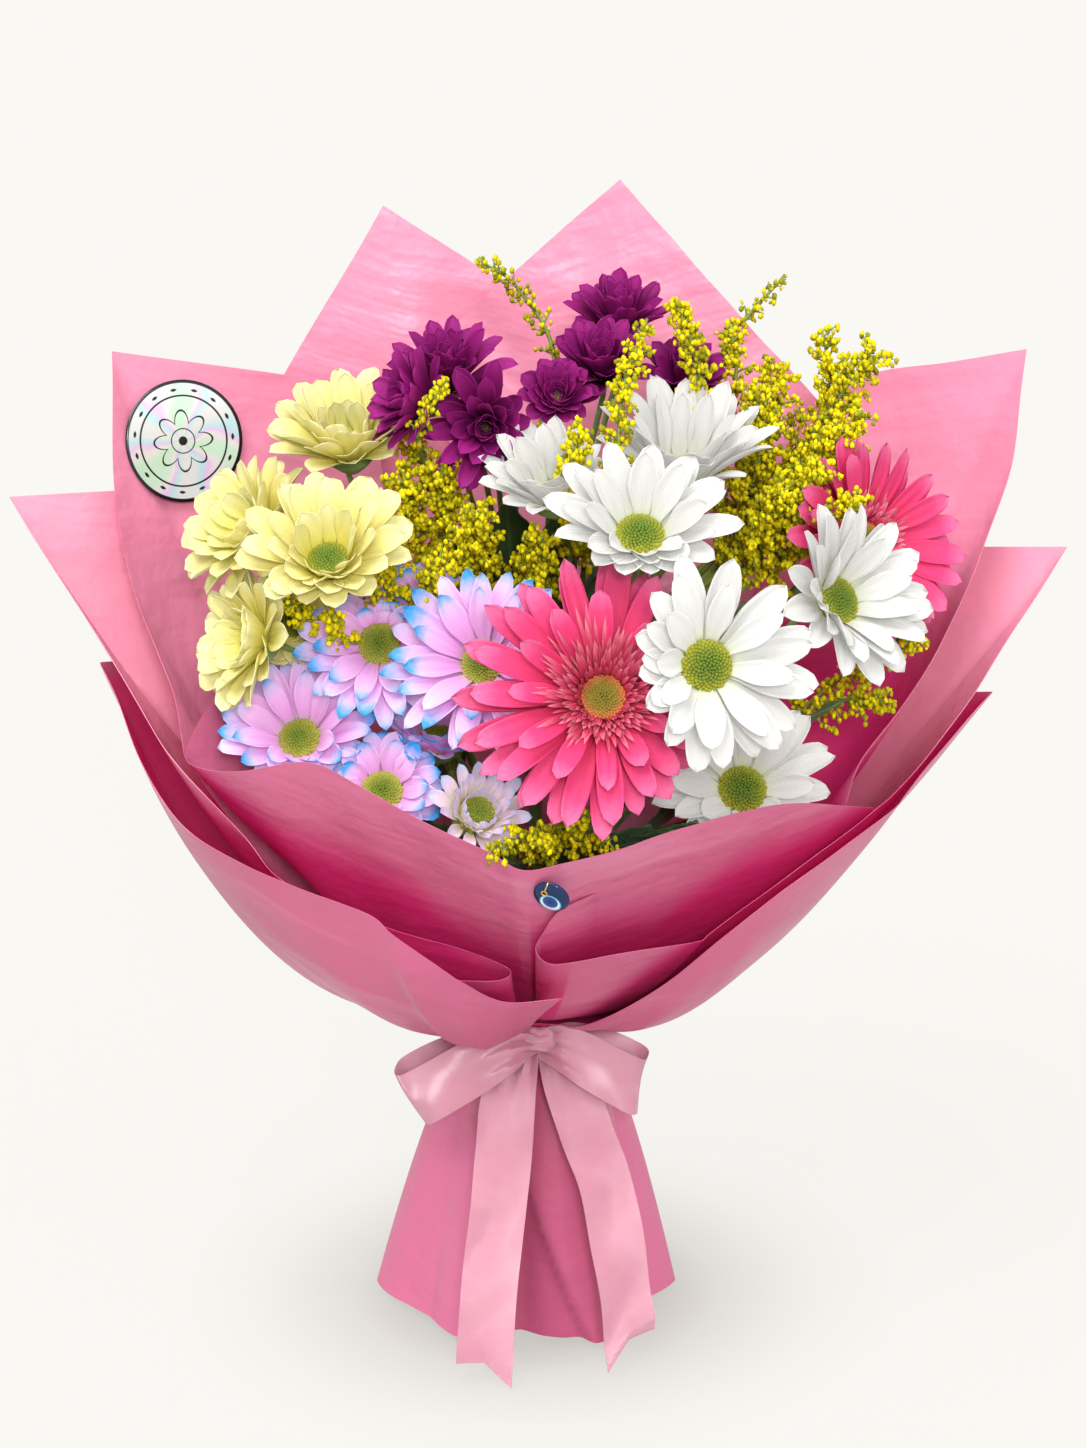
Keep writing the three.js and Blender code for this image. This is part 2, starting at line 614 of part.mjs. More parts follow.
// a lobed leaf on its own stalk, from a point inside the stem
function leaf(from, to) {
  const length = from.distanceTo(to);
  const direction = to.clone().sub(from).normalize();
  const side = direction.clone().cross(vec(0, 0, 1)).normalize();
  const up = side.clone().cross(direction).normalize();
  const outline = [
    [0, 0.9], [0.28, 2.4], [0.42, 8], [0.5, 5], [0.66, 9], [0.72, 5.5], [0.86, 6], [1, 0.6],
  ];
  const body = makeBody();
  const rows = outline.map(([share, half]) => [-1, 0, 1].map((s) => [0.4, -0.4].map((lift) =>
    body.corner(from.clone().addScaledVector(direction, share * length)
      .addScaledVector(side, s * half)
      .addScaledVector(up, lift + Math.abs(s) * half * 0.25 - share * share * 6)))));
  for (let i = 0; i + 1 < rows.length; i += 1) {
    for (let s = 0; s < 2; s += 1) {
      const [a, b, c, d] = [rows[i][s + 1], rows[i][s], rows[i + 1][s], rows[i + 1][s + 1]];
      body.quad(b[0], a[0], d[0], c[0]);
      body.face(b[1], d[1], a[1]);
      body.face(b[1], c[1], d[1]);
    }
    const [r0, r1] = [rows[i], rows[i + 1]];
    body.quad(r0[0][0], r1[0][0], r1[0][1], r0[0][1]);
    body.quad(r1[2][0], r0[2][0], r0[2][1], r1[2][1]);
  }
  const [first, last] = [rows[0], rows[rows.length - 1]];
  for (let s = 0; s < 2; s += 1) {
    body.quad(first[s][0], first[s][1], first[s + 1][1], first[s + 1][0]);
    body.quad(last[s + 1][0], last[s + 1][1], last[s][1], last[s][0]);
  }
  return toSolid(body.geometry());
}

function spray(name, { slot, fork, heads, leaves = [] }) {
  const joint = stemPoint(slot, fork);
  const along = joint.clone().sub(stemPoint(slot, fork - 10)).normalize();
  let whole = mainStem(slot, fork + 3, STEM);
  for (const [head, via] of Object.entries(heads)) {
    const [kind, at, turn, tilt] = HEADS[head];
    const middle = vec(...at);
    const axis = facing(turn, tilt);
    const back = middle.clone().addScaledVector(axis, -7 - kind.layers.length * LAYER_STEP);
    const reach = back.distanceTo(joint);
    const points = [
      joint.clone().addScaledVector(along, -4), joint.clone().addScaledVector(along, 3),
      ...(via ? [vec(...via)] : []),
      back.clone().addScaledVector(axis, -Math.min(14, reach * 0.2)), back,
    ];
    const curve = new THREE.CatmullRomCurve3(points, false, 'centripetal');
    const girth = Object.keys(heads).length === 1 ? STEM * 0.9 : BRANCH;
    const top = calyxAndDisc(kind);
    top.applyQuaternion(new THREE.Quaternion().setFromUnitVectors(vec(0, 0, 1), axis));
    top.translate(middle.x, middle.y, middle.z);
    whole = whole.add(toSolid(tube(curve, girth, 4, 3))).add(toSolid(top));
  }
  for (const [height, tip] of leaves) whole = whole.add(leaf(stemPoint(slot, height), vec(...tip)));
  place(name, toGeometry(whole), GREEN);
}

spray('stem_gerbera_front', {
  slot: [OUTER, 5], fork: 205, heads: { gerbera_front: null },
});
spray('stem_gerbera_right', {
  slot: [OUTER, 8], fork: 205, heads: { gerbera_right: null },
});
spray('spray_white_front', {
  slot: [OUTER, 6], fork: 215,
  heads: { daisy_white_3: [72, -88, 308], daisy_white_4: null, daisy_white_5: null },
  leaves: [[195, [46, -92, 258]], [205, [128, -50, 306]]],
});
spray('spray_white_top', {
  slot: [INNER, 2], fork: 235,
  heads: { daisy_white_1: null, daisy_white_2: null, daisy_white_6: null },
});
spray('spray_cream', {
  slot: [OUTER, 1], fork: 225,
  heads: {
    daisy_cream_1: null, daisy_cream_2: [-84, 8, 320], daisy_cream_3: [-78, -18, 336],
    daisy_cream_4: [-90, -31, 325], daisy_cream_5: [-80, 6, 320],
  },
});
spray('spray_lilac_low', {
  slot: [OUTER, 3], fork: 195,
  heads: { daisy_lilac_1: null, daisy_lilac_4: null, daisy_lilac_5: null, daisy_lilac_7: null },
});
spray('spray_lilac_high', {
  slot: [INNER, 1], fork: 225,
  heads: { daisy_lilac_2: null, daisy_lilac_3: null, daisy_lilac_6: null, daisy_lilac_8: null },
});
spray('spray_purple_left', {
  slot: [OUTER, 0], fork: 290,
  heads: {
    chrysanthemum_purple_2: null, chrysanthemum_purple_3: null, chrysanthemum_purple_5: null,
  },
});
spray('spray_purple_right', {
  slot: [MIDDLE, 0], fork: 300,
  heads: {
    chrysanthemum_purple_1: null, chrysanthemum_purple_4: null, chrysanthemum_purple_6: null,
    chrysanthemum_purple_7: null,
  },
});

// ---- goldenrod ----------------------------------------------------------------------------
// A plume is a thin curved axis set with short side branches of florets, longest low down.

const TWIG = 1.5;
const TWIG_STEPS = 3;

function plume(points, { spread, count }, random) {
  const curve = new THREE.CatmullRomCurve3(points.map((p) => vec(...p)), false, 'centripetal');
  const axis = curve.getSpacedPoints(TWIG_STEPS);
  let whole = toSolid(tube(curve, TWIG, 3, TWIG_STEPS));
  for (let i = 0; i < count; i += 1) {
    const t = 0.3 + 0.68 * ((i + 0.5) / count);
    const size = spread * (1.15 - 0.75 * t);
    const part = Math.floor(t * TWIG_STEPS);
    const along = axis[part + 1].clone().sub(axis[part]);
    const seat = axis[part].clone().addScaledVector(along, t * TWIG_STEPS - part);
    along.normalize();
    const across = along.clone().cross(vec(random() - 0.5, random() - 0.5, random() - 0.5));
    across.applyAxisAngle(along, i * 2.4).normalize();
    const lean = across.addScaledVector(along, 0.5).normalize();
    const tuft = new THREE.ConeGeometry(2.3, size, 3).rotateX(Math.PI / 2)
      .translate(0, 0, size / 2)
      .applyQuaternion(new THREE.Quaternion().setFromUnitVectors(vec(0, 0, 1), lean));
    tuft.translate(seat.x, seat.y, seat.z);
    whole = whole.add(toSolid(tuft));
  }
  return whole;
}

function goldenrod(name, { slot, fork, plumes, seed }) {
  const random = seeded(seed);
  const joint = stemPoint(slot, fork);
  let whole = mainStem(slot, fork + 2, STEM * 0.8);
  for (const { points, ...shape } of plumes) {
    whole = whole.add(plume([joint.toArray(), ...points], shape, random));
  }
  place(name, toGeometry(whole), GOLDENROD);
}

goldenrod('goldenrod_left', {
  slot: [OUTER, 2], fork: 250, seed: 3,
  plumes: [
    { points: [[-40, 2, 320], [-53, -20, 368], [-55, -34, 396]], spread: 12, count: 4 },
    { points: [[-30, -2, 330], [-38, -24, 376], [-39, -30, 400]], spread: 14, count: 4 },
    { points: [[-26, -8, 320], [-26, -38, 362], [-24, -50, 384]], spread: 14, count: 4 },
    { points: [[-14, -10, 320], [-2, -36, 352], [3, -54, 374]], spread: 13, count: 4 },
  ],
});
goldenrod('goldenrod_centre', {
  slot: [INNER, 0], fork: 290, seed: 4,
  plumes: [
    { points: [[-8, 22, 370], [8, 20, 430], [-7, 26, 462], [-25, 20, 477]], spread: 9, count: 5 },
  ],
});
goldenrod('goldenrod_right', {
  slot: [INNER, 3], fork: 290, seed: 5,
  plumes: [
    {
      points: [[26, -14, 340], [34, -42, 385], [36, -38, 430], [47, -14, 458]],
      spread: 12, count: 5,
    },
    { points: [[60, 28, 360], [80, 34, 430], [108, 36, 467]], spread: 10, count: 4 },
    { points: [[80, 15, 350], [98, 10, 400], [105, 14, 432]], spread: 18, count: 4 },
    { points: [[85, 20, 350], [125, 12, 410], [146, 20, 438]], spread: 18, count: 4 },
    { points: [[90, 10, 350], [120, 0, 385], [140, 2, 415]], spread: 16, count: 4 },
  ],
});
goldenrod('goldenrod_low_right', {
  slot: [OUTER, 7], fork: 200, seed: 6,
  plumes: [
    { points: [[110, -20, 280], [135, -38, 298], [150, -48, 300]], spread: 12, count: 4 },
    { points: [[110, -15, 280], [146, -32, 318], [164, -42, 324]], spread: 12, count: 4 },
  ],
});
goldenrod('goldenrod_front', {
  slot: [OUTER, 4], fork: 185, seed: 7,
  plumes: [
    { points: [[4, -72, 236], [2, -98, 260], [-14, -116, 262]], spread: 10, count: 4 },
    { points: [[5, -70, 240], [12, -95, 262], [24, -104, 268]], spread: 10, count: 4 },
  ],
});

export default bouquet;
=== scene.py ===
"""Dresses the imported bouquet: film, ribbon, sticker, charm, stems, blooms and goldenrod."""
import math
import random

import bpy
import numpy as np
from mathutils import Matrix, Vector


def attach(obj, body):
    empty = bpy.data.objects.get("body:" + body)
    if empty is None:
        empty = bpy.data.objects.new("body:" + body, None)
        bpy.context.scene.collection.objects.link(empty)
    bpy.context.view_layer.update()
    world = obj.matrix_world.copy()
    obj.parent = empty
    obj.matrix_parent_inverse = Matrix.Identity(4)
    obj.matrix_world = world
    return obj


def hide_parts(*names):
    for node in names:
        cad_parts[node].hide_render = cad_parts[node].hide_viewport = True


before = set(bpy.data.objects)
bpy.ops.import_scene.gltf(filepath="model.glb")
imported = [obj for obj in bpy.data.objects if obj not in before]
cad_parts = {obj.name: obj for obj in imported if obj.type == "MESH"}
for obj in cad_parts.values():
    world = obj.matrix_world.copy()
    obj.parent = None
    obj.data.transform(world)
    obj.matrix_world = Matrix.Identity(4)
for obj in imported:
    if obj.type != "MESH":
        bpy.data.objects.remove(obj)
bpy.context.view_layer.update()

# ---- Studio ------------------------------------------------------------------------------
# A pale sweep of floor under soft light from above and in front, seen from straight ahead
# and a little above, as a florist photographs a bouquet for a catalogue.

LOOK_AT = Vector((0.0031, 0.0, 0.2738))
VIEW_DOWN = math.radians(18)
VIEW_DISTANCE = 1.7
away = Vector((0, -math.cos(VIEW_DOWN), math.sin(VIEW_DOWN)))
bpy.ops.object.camera_add(
    location=LOOK_AT + away * VIEW_DISTANCE, rotation=away.to_track_quat("Z", "Y").to_euler()
)
camera = bpy.context.object
camera.data.lens = 96.06
camera.data.sensor_width = 36
camera.data.clip_end = 60
bpy.context.scene.camera = camera
bpy.context.scene.view_settings.view_transform = "Standard"


def deselect_all():
    """Nothing stays selected, so that the next operator acts on one piece alone."""
    if bpy.context.object and bpy.context.object.mode != "OBJECT":
        bpy.ops.object.mode_set(mode="OBJECT")
    bpy.ops.object.select_all(action="DESELECT")


def soft_sun(name, toward, strength, spread, colour=(1, 1, 1)):
    """A wide, even light from one side; its spread in degrees sets how soft its shadows are."""
    aim = Vector(toward).to_track_quat("Z", "Y").to_euler()
    bpy.ops.object.light_add(type="SUN", location=Vector(toward) * 3, rotation=aim)
    lamp = bpy.context.object
    lamp.name = name
    lamp.data.energy = strength
    lamp.data.angle = math.radians(spread)
    lamp.data.color = colour


soft_sun("key_light", (-0.3, -0.5, 1.0), 2.6, 40, (1, 0.99, 0.975))
soft_sun("front_light", (0.1, -1.0, 0.45), 1.5, 12)
soft_sun("fill_light", (0.75, -0.9, 0.7), 0.5, 60)

world = bpy.data.worlds.new("studio_air")
world.use_nodes = True
world.node_tree.nodes["Background"].inputs["Color"].default_value = (1.0, 0.99, 0.98, 1)
world.node_tree.nodes["Background"].inputs["Strength"].default_value = 0.72
bpy.context.scene.world = world


class Wire:
    """One output of a finish's nodes; arithmetic on it adds Math nodes."""

    def __init__(self, finish, socket):
        self.finish, self.socket = finish, socket

    def output(self, index):
        """Another output of the same node."""
        return Wire(self.finish, self.socket.node.outputs[index])

    def math(self, operation, *values):
        return self.finish.node("ShaderNodeMath", {"operation": operation}, dict(enumerate(values)))

    def __add__(self, other):
        return self.math("ADD", self, other)

    def __sub__(self, other):
        return self.math("SUBTRACT", self, other)

    def __rsub__(self, other):
        return self.math("SUBTRACT", other, self)

    def __mul__(self, other):
        return self.math("MULTIPLY", self, other)

    def __pow__(self, other):
        return self.math("POWER", self, other)

    def __abs__(self):
        return self.math("ABSOLUTE", self)

    def sine(self):
        return self.math("SINE", self)

    def cosine(self):
        return self.math("COSINE", self)

    def clamped(self):
        """Kept between 0 and 1."""
        return self.math("MAXIMUM", self.math("MINIMUM", self, 1.0), 0.0)

    __radd__ = __add__
    __rmul__ = __mul__


class Finish:
    """A material on one Principled shader, whose steady values are given by name."""

    def __init__(self, name, **steady):
        self.material = bpy.data.materials.new(name)
        self.material.use_nodes = True
        self.tree = self.material.node_tree
        self.shader = self.tree.nodes["Principled BSDF"]
        for words, value in steady.items():
            self.shader.inputs[words.replace("_", " ")].default_value = value

    def node(self, kind, settings=None, inputs=None, output=0):
        """A node of any kind: its settings first, then the values or links of its sockets."""
        new = self.tree.nodes.new(kind)
        for key, value in (settings or {}).items():
            if key == "stops":
                for at, colour in value[2:]:
                    new.color_ramp.elements.new(at)
                for element, (at, colour) in zip(new.color_ramp.elements, sorted(value)):
                    element.position, element.color = at, (*colour, 1)
            else:
                setattr(new, key, value)
        for key, value in (inputs or {}).items():
            if isinstance(value, Wire):
                self.tree.links.new(value.socket, new.inputs[key])
            else:
                new.inputs[key].default_value = value
        return Wire(self, new.outputs[output])

    def feed(self, name, wire):
        """Links a wire to a socket of the shader."""
        self.tree.links.new(wire.socket, self.shader.inputs[name])

    def noise(self, scale, detail=3.0, vector=None):
        """Noise over the place on the piece, or over another vector."""
        place = vector or self.node("ShaderNodeTexCoord", output="Object")
        return self.node("ShaderNodeTexNoise", None, {
            "Vector": place, "Scale": scale, "Detail": detail, "Roughness": 0.55,
        })

    def ramp(self, factor, *stops):
        """Colours run from stop to stop, each a (factor, colour)."""
        return self.node("ShaderNodeValToRGB", {"stops": list(stops)}, {0: factor})

    def mix(self, factor, first, second, blend="MIX"):
        """The first colour where the factor is 0, the second or their blend where it is 1."""
        colours = {
            key: value if isinstance(value, Wire) else (*value, 1)
            for key, value in ((6, first), (7, second))
        }
        settings = {"data_type": "RGBA", "blend_type": blend}
        return self.node("ShaderNodeMix", settings, {0: factor, **colours}, output=2)

    def bump(self, height, strength, distance):
        """Small relief in the surface."""
        self.feed("Normal", self.node("ShaderNodeBump", None, {
            "Height": height, "Strength": strength, "Distance": distance,
        }))


# the floor lies just under the hem and the cut stems, and runs so far back that no edge shows
FLOOR_BACK = 8.0
FLOOR_LEVEL = -0.0006
deselect_all()
bpy.ops.mesh.primitive_plane_add(size=40, location=(0, FLOOR_BACK, FLOOR_LEVEL))
floor = bpy.context.object
floor.name = "studio_floor"
floor_paint = Finish("floor_paint", Roughness=0.95, Specular_IOR_Level=0.0, Emission_Strength=0.86)
floor_paint.feed("Base Color", floor_paint.ramp(
    floor_paint.noise(3.0), (0.3, (0.054, 0.053, 0.052)), (0.7, (0.056, 0.055, 0.054)),
))
# painted shadow: the floor's even glow is darker round the foot, as a soft contact shadow
floor_place = floor_paint.node("ShaderNodeTexCoord", output=3)
floor_x = floor_paint.node("ShaderNodeSeparateXYZ", None, {0: floor_place})
floor_y = floor_x.output(1) + FLOOR_BACK
from_foot = (floor_x * floor_x + floor_y * floor_y) ** 0.5
floor_paint.feed("Emission Color", floor_paint.ramp(
    from_foot * 5,
    (0.28, (0.66, 0.63, 0.6)), (0.36, (0.74, 0.71, 0.675)), (0.42, (0.81, 0.785, 0.75)),
    (0.55, (0.9, 0.88, 0.845)), (0.66, (0.96, 0.943, 0.903)), (0.85, (1.0, 0.985, 0.945)),
))
floor.data.materials.append(floor_paint.material)

# ---- Wrapping film -----------------------------------------------------------------------
# Nine sheets of pink plastic film wrap the stems. Each is gathered at the tie and bellies out
# to its own cut edge; four of them also flare below the tie into the skirt.

MM = 0.001
TIE_TOP, TIE_BOTTOM = 0.141, 0.125
OUTER_NECK = 0.0294
HEM_HEIGHT = 0.004
SKIRT_CURVE = 0.7
FILM_THICKNESS = 0.0003

# the hem of the outermost sheet, as degrees round the tie and radii in millimetres
HEM = np.array([
    (-180, 72), (-157, 64), (-142, 62), (-123, 66), (-97, 62), (-87, 69), (-78, 72), (-67, 71),
    (-45, 64), (-21, 57), (0, 65), (30, 60), (60, 68), (90, 61), (120, 69), (150, 62), (180, 72),
]) * (1, MM)

# in millimetres: rim, places on the cut edge, with a fourth number where a rib has its own
# belly; neck, the radii at the tie of the first and the last rib; and skirt_gap, how far the
# hem lies inside the outermost one; in metres: pocket, the height under which the inner
# face is painted in deep shade, and fade, how softly that painted shade begins
# corners: which places of the rim are the sheet's sharp corners; lining: how many ribs at its
# start are folded in against the rest; swing: degrees by which its first and last ribs come
# round on the way to the tie; tuck: a slanting crease in the skirt, from a (height, degrees)
# to another, and how deep the film is folded under along it
SHEETS = {
    "film_back_left": dict(
        node="paper_back_left", belly=0.52, neck=(24.6, 24.6), skirt_gap=5, corners=[4],
        rim=[(33.5, 104, 418), (8, 107, 434), (-15, 108, 449), (-43, 109, 467), (-70, 110, 484),
             (-93, 106, 446), (-115, 100, 408), (-137, 92, 370)]),
    "film_back_right": dict(
        node="paper_back_right", belly=0.62, neck=(22.6, 22.6), skirt_gap=7.4, corners=[3],
        rim=[(137, 80, 389), (108, 92, 420), (72, 98, 460), (37, 102, 496.5), (11, 100, 474),
             (-15, 97, 451), (-43, 92, 427)]),
    "film_left": dict(
        node="paper_left", belly=0.55, neck=(22.6, 22.6), corners=[3],
        rim=[(-75, 86, 405), (-113, 70, 415), (-150, 58, 423), (-185.5, 45, 431),
             (-182, 22, 382.5), (-173.5, 0, 337.5), (-164, -16, 313), (-155, -28, 294),
             (-149, -42, 273)]),
    "film_right": dict(
        pocket=0.35, fade=0.06, node="paper_right", belly=0.6, neck=(20.6, 20.6), corners=[6],
        rim=[(131.5, -60, 256.5), (139.5, -50, 275), (161, -32, 295), (182.5, -12, 324),
             (197, 8, 353), (208.5, 25, 384), (214.5, 45, 432), (180, 58, 423), (147, 70, 415),
             (120, 70, 400)]),
    "film_left_middle": dict(
        pocket=0.258, node="paper_left_mid", belly=0.5, neck=(24.8, 25.6), corners=[2],
        rim=[(-150, 55, 367.5), (-183.5, 35, 370.5), (-226.5, 15, 373, 0.62),
             (-206.5, 0, 344, 0.58), (-182, -22, 309), (-165, -40, 288.5), (-148.5, -62, 273),
             (-124, -75, 248), (-110, -84, 233), (-87, -90, 223), (-60, -92, 212),
             (-33, -90, 203), (-15, -85, 194), (-10.5, -89, 191.5), (-16, -95, 190.5),
             (-28, -97, 191), (-42, -99, 193), (-56, -98, 199)]),
    "film_right_middle": dict(
        pocket=0.235, lining=40, node="paper_right_mid", belly=0.6, neck=(24.4, 24.8),
        corners=[17],
        rim=[(58, -91, 241.5, 0.64), (38, -98.5, 237.5, 0.64), (24, -104, 233, 0.62),
             (10, -104, 226), (3.5, -99, 215), (0, -95, 205), (5, -98, 200),
             (16, -100, 201), (38.5, -100, 205), (68, -95, 208), (75, -93, 212),
             (111.5, -87, 239, 0.54), (145, -65, 257.5, 0.55), (153.5, -56, 261.5, 0.56),
             (174, -36, 277, 0.58), (192, -18, 295, 0.63), (214, 0, 323, 0.66),
             (234, 15, 350.5, 0.7), (200, 35, 345), (163, 55, 340)]),
    "film_front": dict(
        node="paper_front", belly=0.64, neck=(20.6, 22.6), corners=[],
        rim=[(-133.5, -34, 300, 0.72), (-143, -46, 289, 0.72), (-147.5, -54, 277, 0.72),
             (-141, -67, 276, 0.7), (-124.5, -84, 280, 0.57), (-95, -100, 289, 0.55),
             (-72, -108, 281, 0.55), (-41.5, -114, 266.5, 0.6), (-19, -117, 256), (-5.5, -118, 249),
             (11, -118, 252), (38, -116, 258), (64, -112, 265), (102, -102, 272),
             (129.5, -84, 265, 0.6), (144.5, -61, 256, 0.62)]),
    "film_left_outer": dict(
        pocket=0.34, node="paper_left_outer", belly=0.38, neck=(29.4, 29.4), skirt_gap=0,
        corners=[4, 12], swing=(0, -13),
        rim=[(-60, 125, 240, 0.5), (-110, 105, 262, 0.48), (-160, 60, 284, 0.44),
             (-187.5, 13, 298.5, 0.4), (-189, -8, 303.5), (-180, -28, 293), (-167.5, -47, 272),
             (-149, -67, 250, 0.44), (-125.5, -85, 240, 0.42), (-102, -97, 233.5),
             (-70.5, -108, 225.5), (-59, -110, 216, 0.34), (-34, -107, 196, 0.32),
             (-14, -100, 183, 0.5), (11, -95, 182.5, 0.8)]),
    "film_right_outer": dict(
        pocket=0.34, node="paper_right_outer", belly=0.48, neck=(27.2, 27.2), skirt_gap=2.4,
        corners=[12], swing=(-17, 0), tuck=((0.085, -99), (0.004, -69), 0.009),
        rim=[(-4, -42, 149), (8, -44, 149.5), (20, -52, 152), (39, -77, 171), (58, -93, 190.5),
             (76, -103, 210.5, 0.42), (91, -104, 224, 0.4), (111, -99, 238.5, 0.41),
             (147, -76, 258, 0.49), (157, -63, 263, 0.53), (173, -41, 273.5, 0.58),
             (194.5, -17, 288.5, 0.62), (200, -6, 290.5, 0.63), (188, 15, 285, 0.62),
             (165, 62, 280, 0.55), (112, 105, 262), (60, 125, 240)]),
}


def smooth_run(points, corners, per_span):
    """A curve through the points that rounds all of them but the corners."""
    points = np.array(points, float)
    last = len(points) - 1
    run = []
    for i in range(last):
        a = points[i] * 2 - points[i + 1] if i == 0 or i in corners else points[i - 1]
        b, c = points[i], points[i + 1]
        d = points[i + 1] * 2 - b if i + 1 == last or i + 1 in corners else points[i + 2]
        for t in np.linspace(0, 1, per_span, endpoint=False):
            run.append(0.5 * (2 * b + (c - a) * t + (2 * a - 5 * b + 4 * c - d) * t**2
                              + (3 * b - a - 3 * c + d) * t**3))
    return np.array(run + [points[-1]])


def rim_of(shape):
    """The cut edge as a smooth run of (x, y, z, belly), in metres but for the belly."""
    bellied = [(*p[:3], p[3] if len(p) > 3 else shape["belly"]) for p in shape["rim"]]
    return smooth_run(bellied, shape["corners"], 8) * (MM, MM, MM, 1)


def film_fold(azimuth, height, shift):
    """How far the film stands out of its plain shape there: broad folds that all sheets share
    keep them from cutting through each other, and small ones are each sheet's own."""
    high = np.clip((height - TIE_TOP) / 0.16, 0, 1)
    low = np.clip((TIE_BOTTOM - height) / 0.12, 0, 1)
    broad = np.sin(azimuth * 5 + height * 14) + 0.7 * np.sin(azimuth * 9 - height * 23 + 1.3)
    own = np.sin(azimuth * 17 + height * 31 + shift) * np.sin(height * 57 + azimuth * 4 + shift)
    pleats = np.sin(azimuth * 26 + 0.8 * np.sin(azimuth * 7)) * np.exp(-high * 7)
    skirt = np.sin(azimuth * 6 + 1.1) * 0.0016 * low
    return high * (0.0016 * broad + 0.0006 * own) + 0.00035 * pleats * (low < 0.02) + skirt


SHADE_START = 0.022
SHADE_SPAN = 0.026


def pocket_shade_depth(name, azimuth, height, edge):
    """How deep, from 0 to 1, a place lies behind the cut edges of the sheets outside it, or
    behind a lower fold of its own where it has a lining, which sets how deep its painted shade
    is. The painted shade starts above such an edge."""
    depth = np.zeros(azimuth.shape)
    neck = SHEETS[name]["neck"][0]
    for other, shape in SHEETS.items():
        folded_in = other == name and "lining" in shape
        for x, y, z, _ in rim_of(shape)[shape.get("lining", 0):]:
            near = np.abs((azimuth - math.atan2(y, x) + math.pi) % (2 * math.pi) - math.pi) < 0.03
            own_fold = folded_in & (z < edge - 0.012)
            covers = near & ((shape["neck"][0] > neck + 0.5) | own_fold)
            shade = (z + SHADE_START - height) / SHADE_SPAN
            depth = np.where(covers, np.maximum(depth, shade), depth)
    return np.clip(depth, 0, 1) * (height > TIE_BOTTOM)


ROWS_UP, ROWS_DOWN = 34, 44
SWINGING_SHARE = 0.25


def cut_sheet(name, shape, shift):
    """A grid as large as the sheet, with each row of it laid from the hem up to the rim."""
    rim = rim_of(shape)
    ribs = len(rim)
    rises = np.linspace(0.03, 1, ROWS_UP) ** 1.25
    drops = np.linspace(1, 0.03, ROWS_DOWN) if "skirt_gap" in shape else np.array([])
    rows = len(drops) + 3 + len(rises)
    deselect_all()
    bpy.ops.mesh.primitive_grid_add(x_subdivisions=ribs - 1, y_subdivisions=rows - 1, size=1)
    piece = bpy.context.object
    piece.name = name
    places, azimuths = np.zeros((rows, ribs, 3)), np.zeros((rows, ribs))
    skirt_shade = np.zeros((rows, ribs))
    first_swing, last_swing = np.radians(shape.get("swing", (0, 0)))
    for i, (x, y, z, belly) in enumerate(rim):
        share = i / (ribs - 1)
        # near its ends the sheet is drawn round as well as in, on its way down to the tie
        swing = first_swing * max(0, 1 - share / SWINGING_SHARE) ** 2
        swing += last_swing * max(0, (share - (1 - SWINGING_SHARE)) / SWINGING_SHARE) ** 2
        neck = MM * np.interp(share, (0, 1), shape["neck"])
        curve = math.sqrt(belly)
        inset = OUTER_NECK - neck
        bottom, top = TIE_BOTTOM - inset / 2, TIE_TOP + inset
        azimuth = math.atan2(y, x) + np.concatenate(
            (swing * (1 + 0.9 * drops), [swing] * 3, swing * (1 - rises))
        )
        radius, height = [], []
        if len(drops):
            bearing = np.degrees(azimuth[:len(drops)] + math.pi) % 360 - 180
            hem = np.interp(bearing, HEM[:, 0], HEM[:, 1])
            hem -= shape["skirt_gap"] * MM
            radius += list(neck + (hem - neck) * drops**SKIRT_CURVE)
            height += list(bottom + (HEM_HEIGHT - bottom) * drops)
        radius += [neck, neck, neck]
        height += [bottom, (bottom + top) / 2, top]
        radius += list(neck + (math.hypot(x, y) - neck) * rises**curve)
        height += list(top + (z - top) * rises ** (1 / curve))
        radius, height = np.array(radius), np.array(height)
        radius = radius + film_fold(azimuth, height, shift)
        if "tuck" in shape:
            # one end of the skirt is folded under, along a slanting crease
            (high, at_high), (low, at_low), depth = shape["tuck"]
            crease = np.radians(np.interp(height, (low, high), (at_low, at_high)))
            under = 1 / (1 + np.exp((azimuth - crease) * 90))
            radius -= depth * under * np.clip((high - height) / 0.05, 0, 1)
            # painted shade over the middle of the skirt, between the tails, a little deeper where the
            # film is folded under
            middle = np.clip((math.radians(-60) - azimuth) * 12, 0, 1) * (height < TIE_BOTTOM)
            skirt_shade[:, i] = middle * (0.88 + 0.12 * under)
        azimuths[:, i] = azimuth
        places[:, i] = np.column_stack(
            (radius * np.cos(azimuth), radius * np.sin(azimuth), height)
        )
    piece.data.vertices.foreach_set("co", places.ravel().astype(np.float32))
    piece.data.update()
    thicken = piece.modifiers.new("film", "SOLIDIFY")
    thicken.thickness = FILM_THICKNESS
    thicken.offset = 0
    bpy.ops.object.modifier_apply(modifier="film")
    bpy.ops.object.shade_smooth_by_angle(angle=math.radians(50))
    paint_pocket_shade(piece, name, shape, places, azimuths, skirt_shade)
    return piece


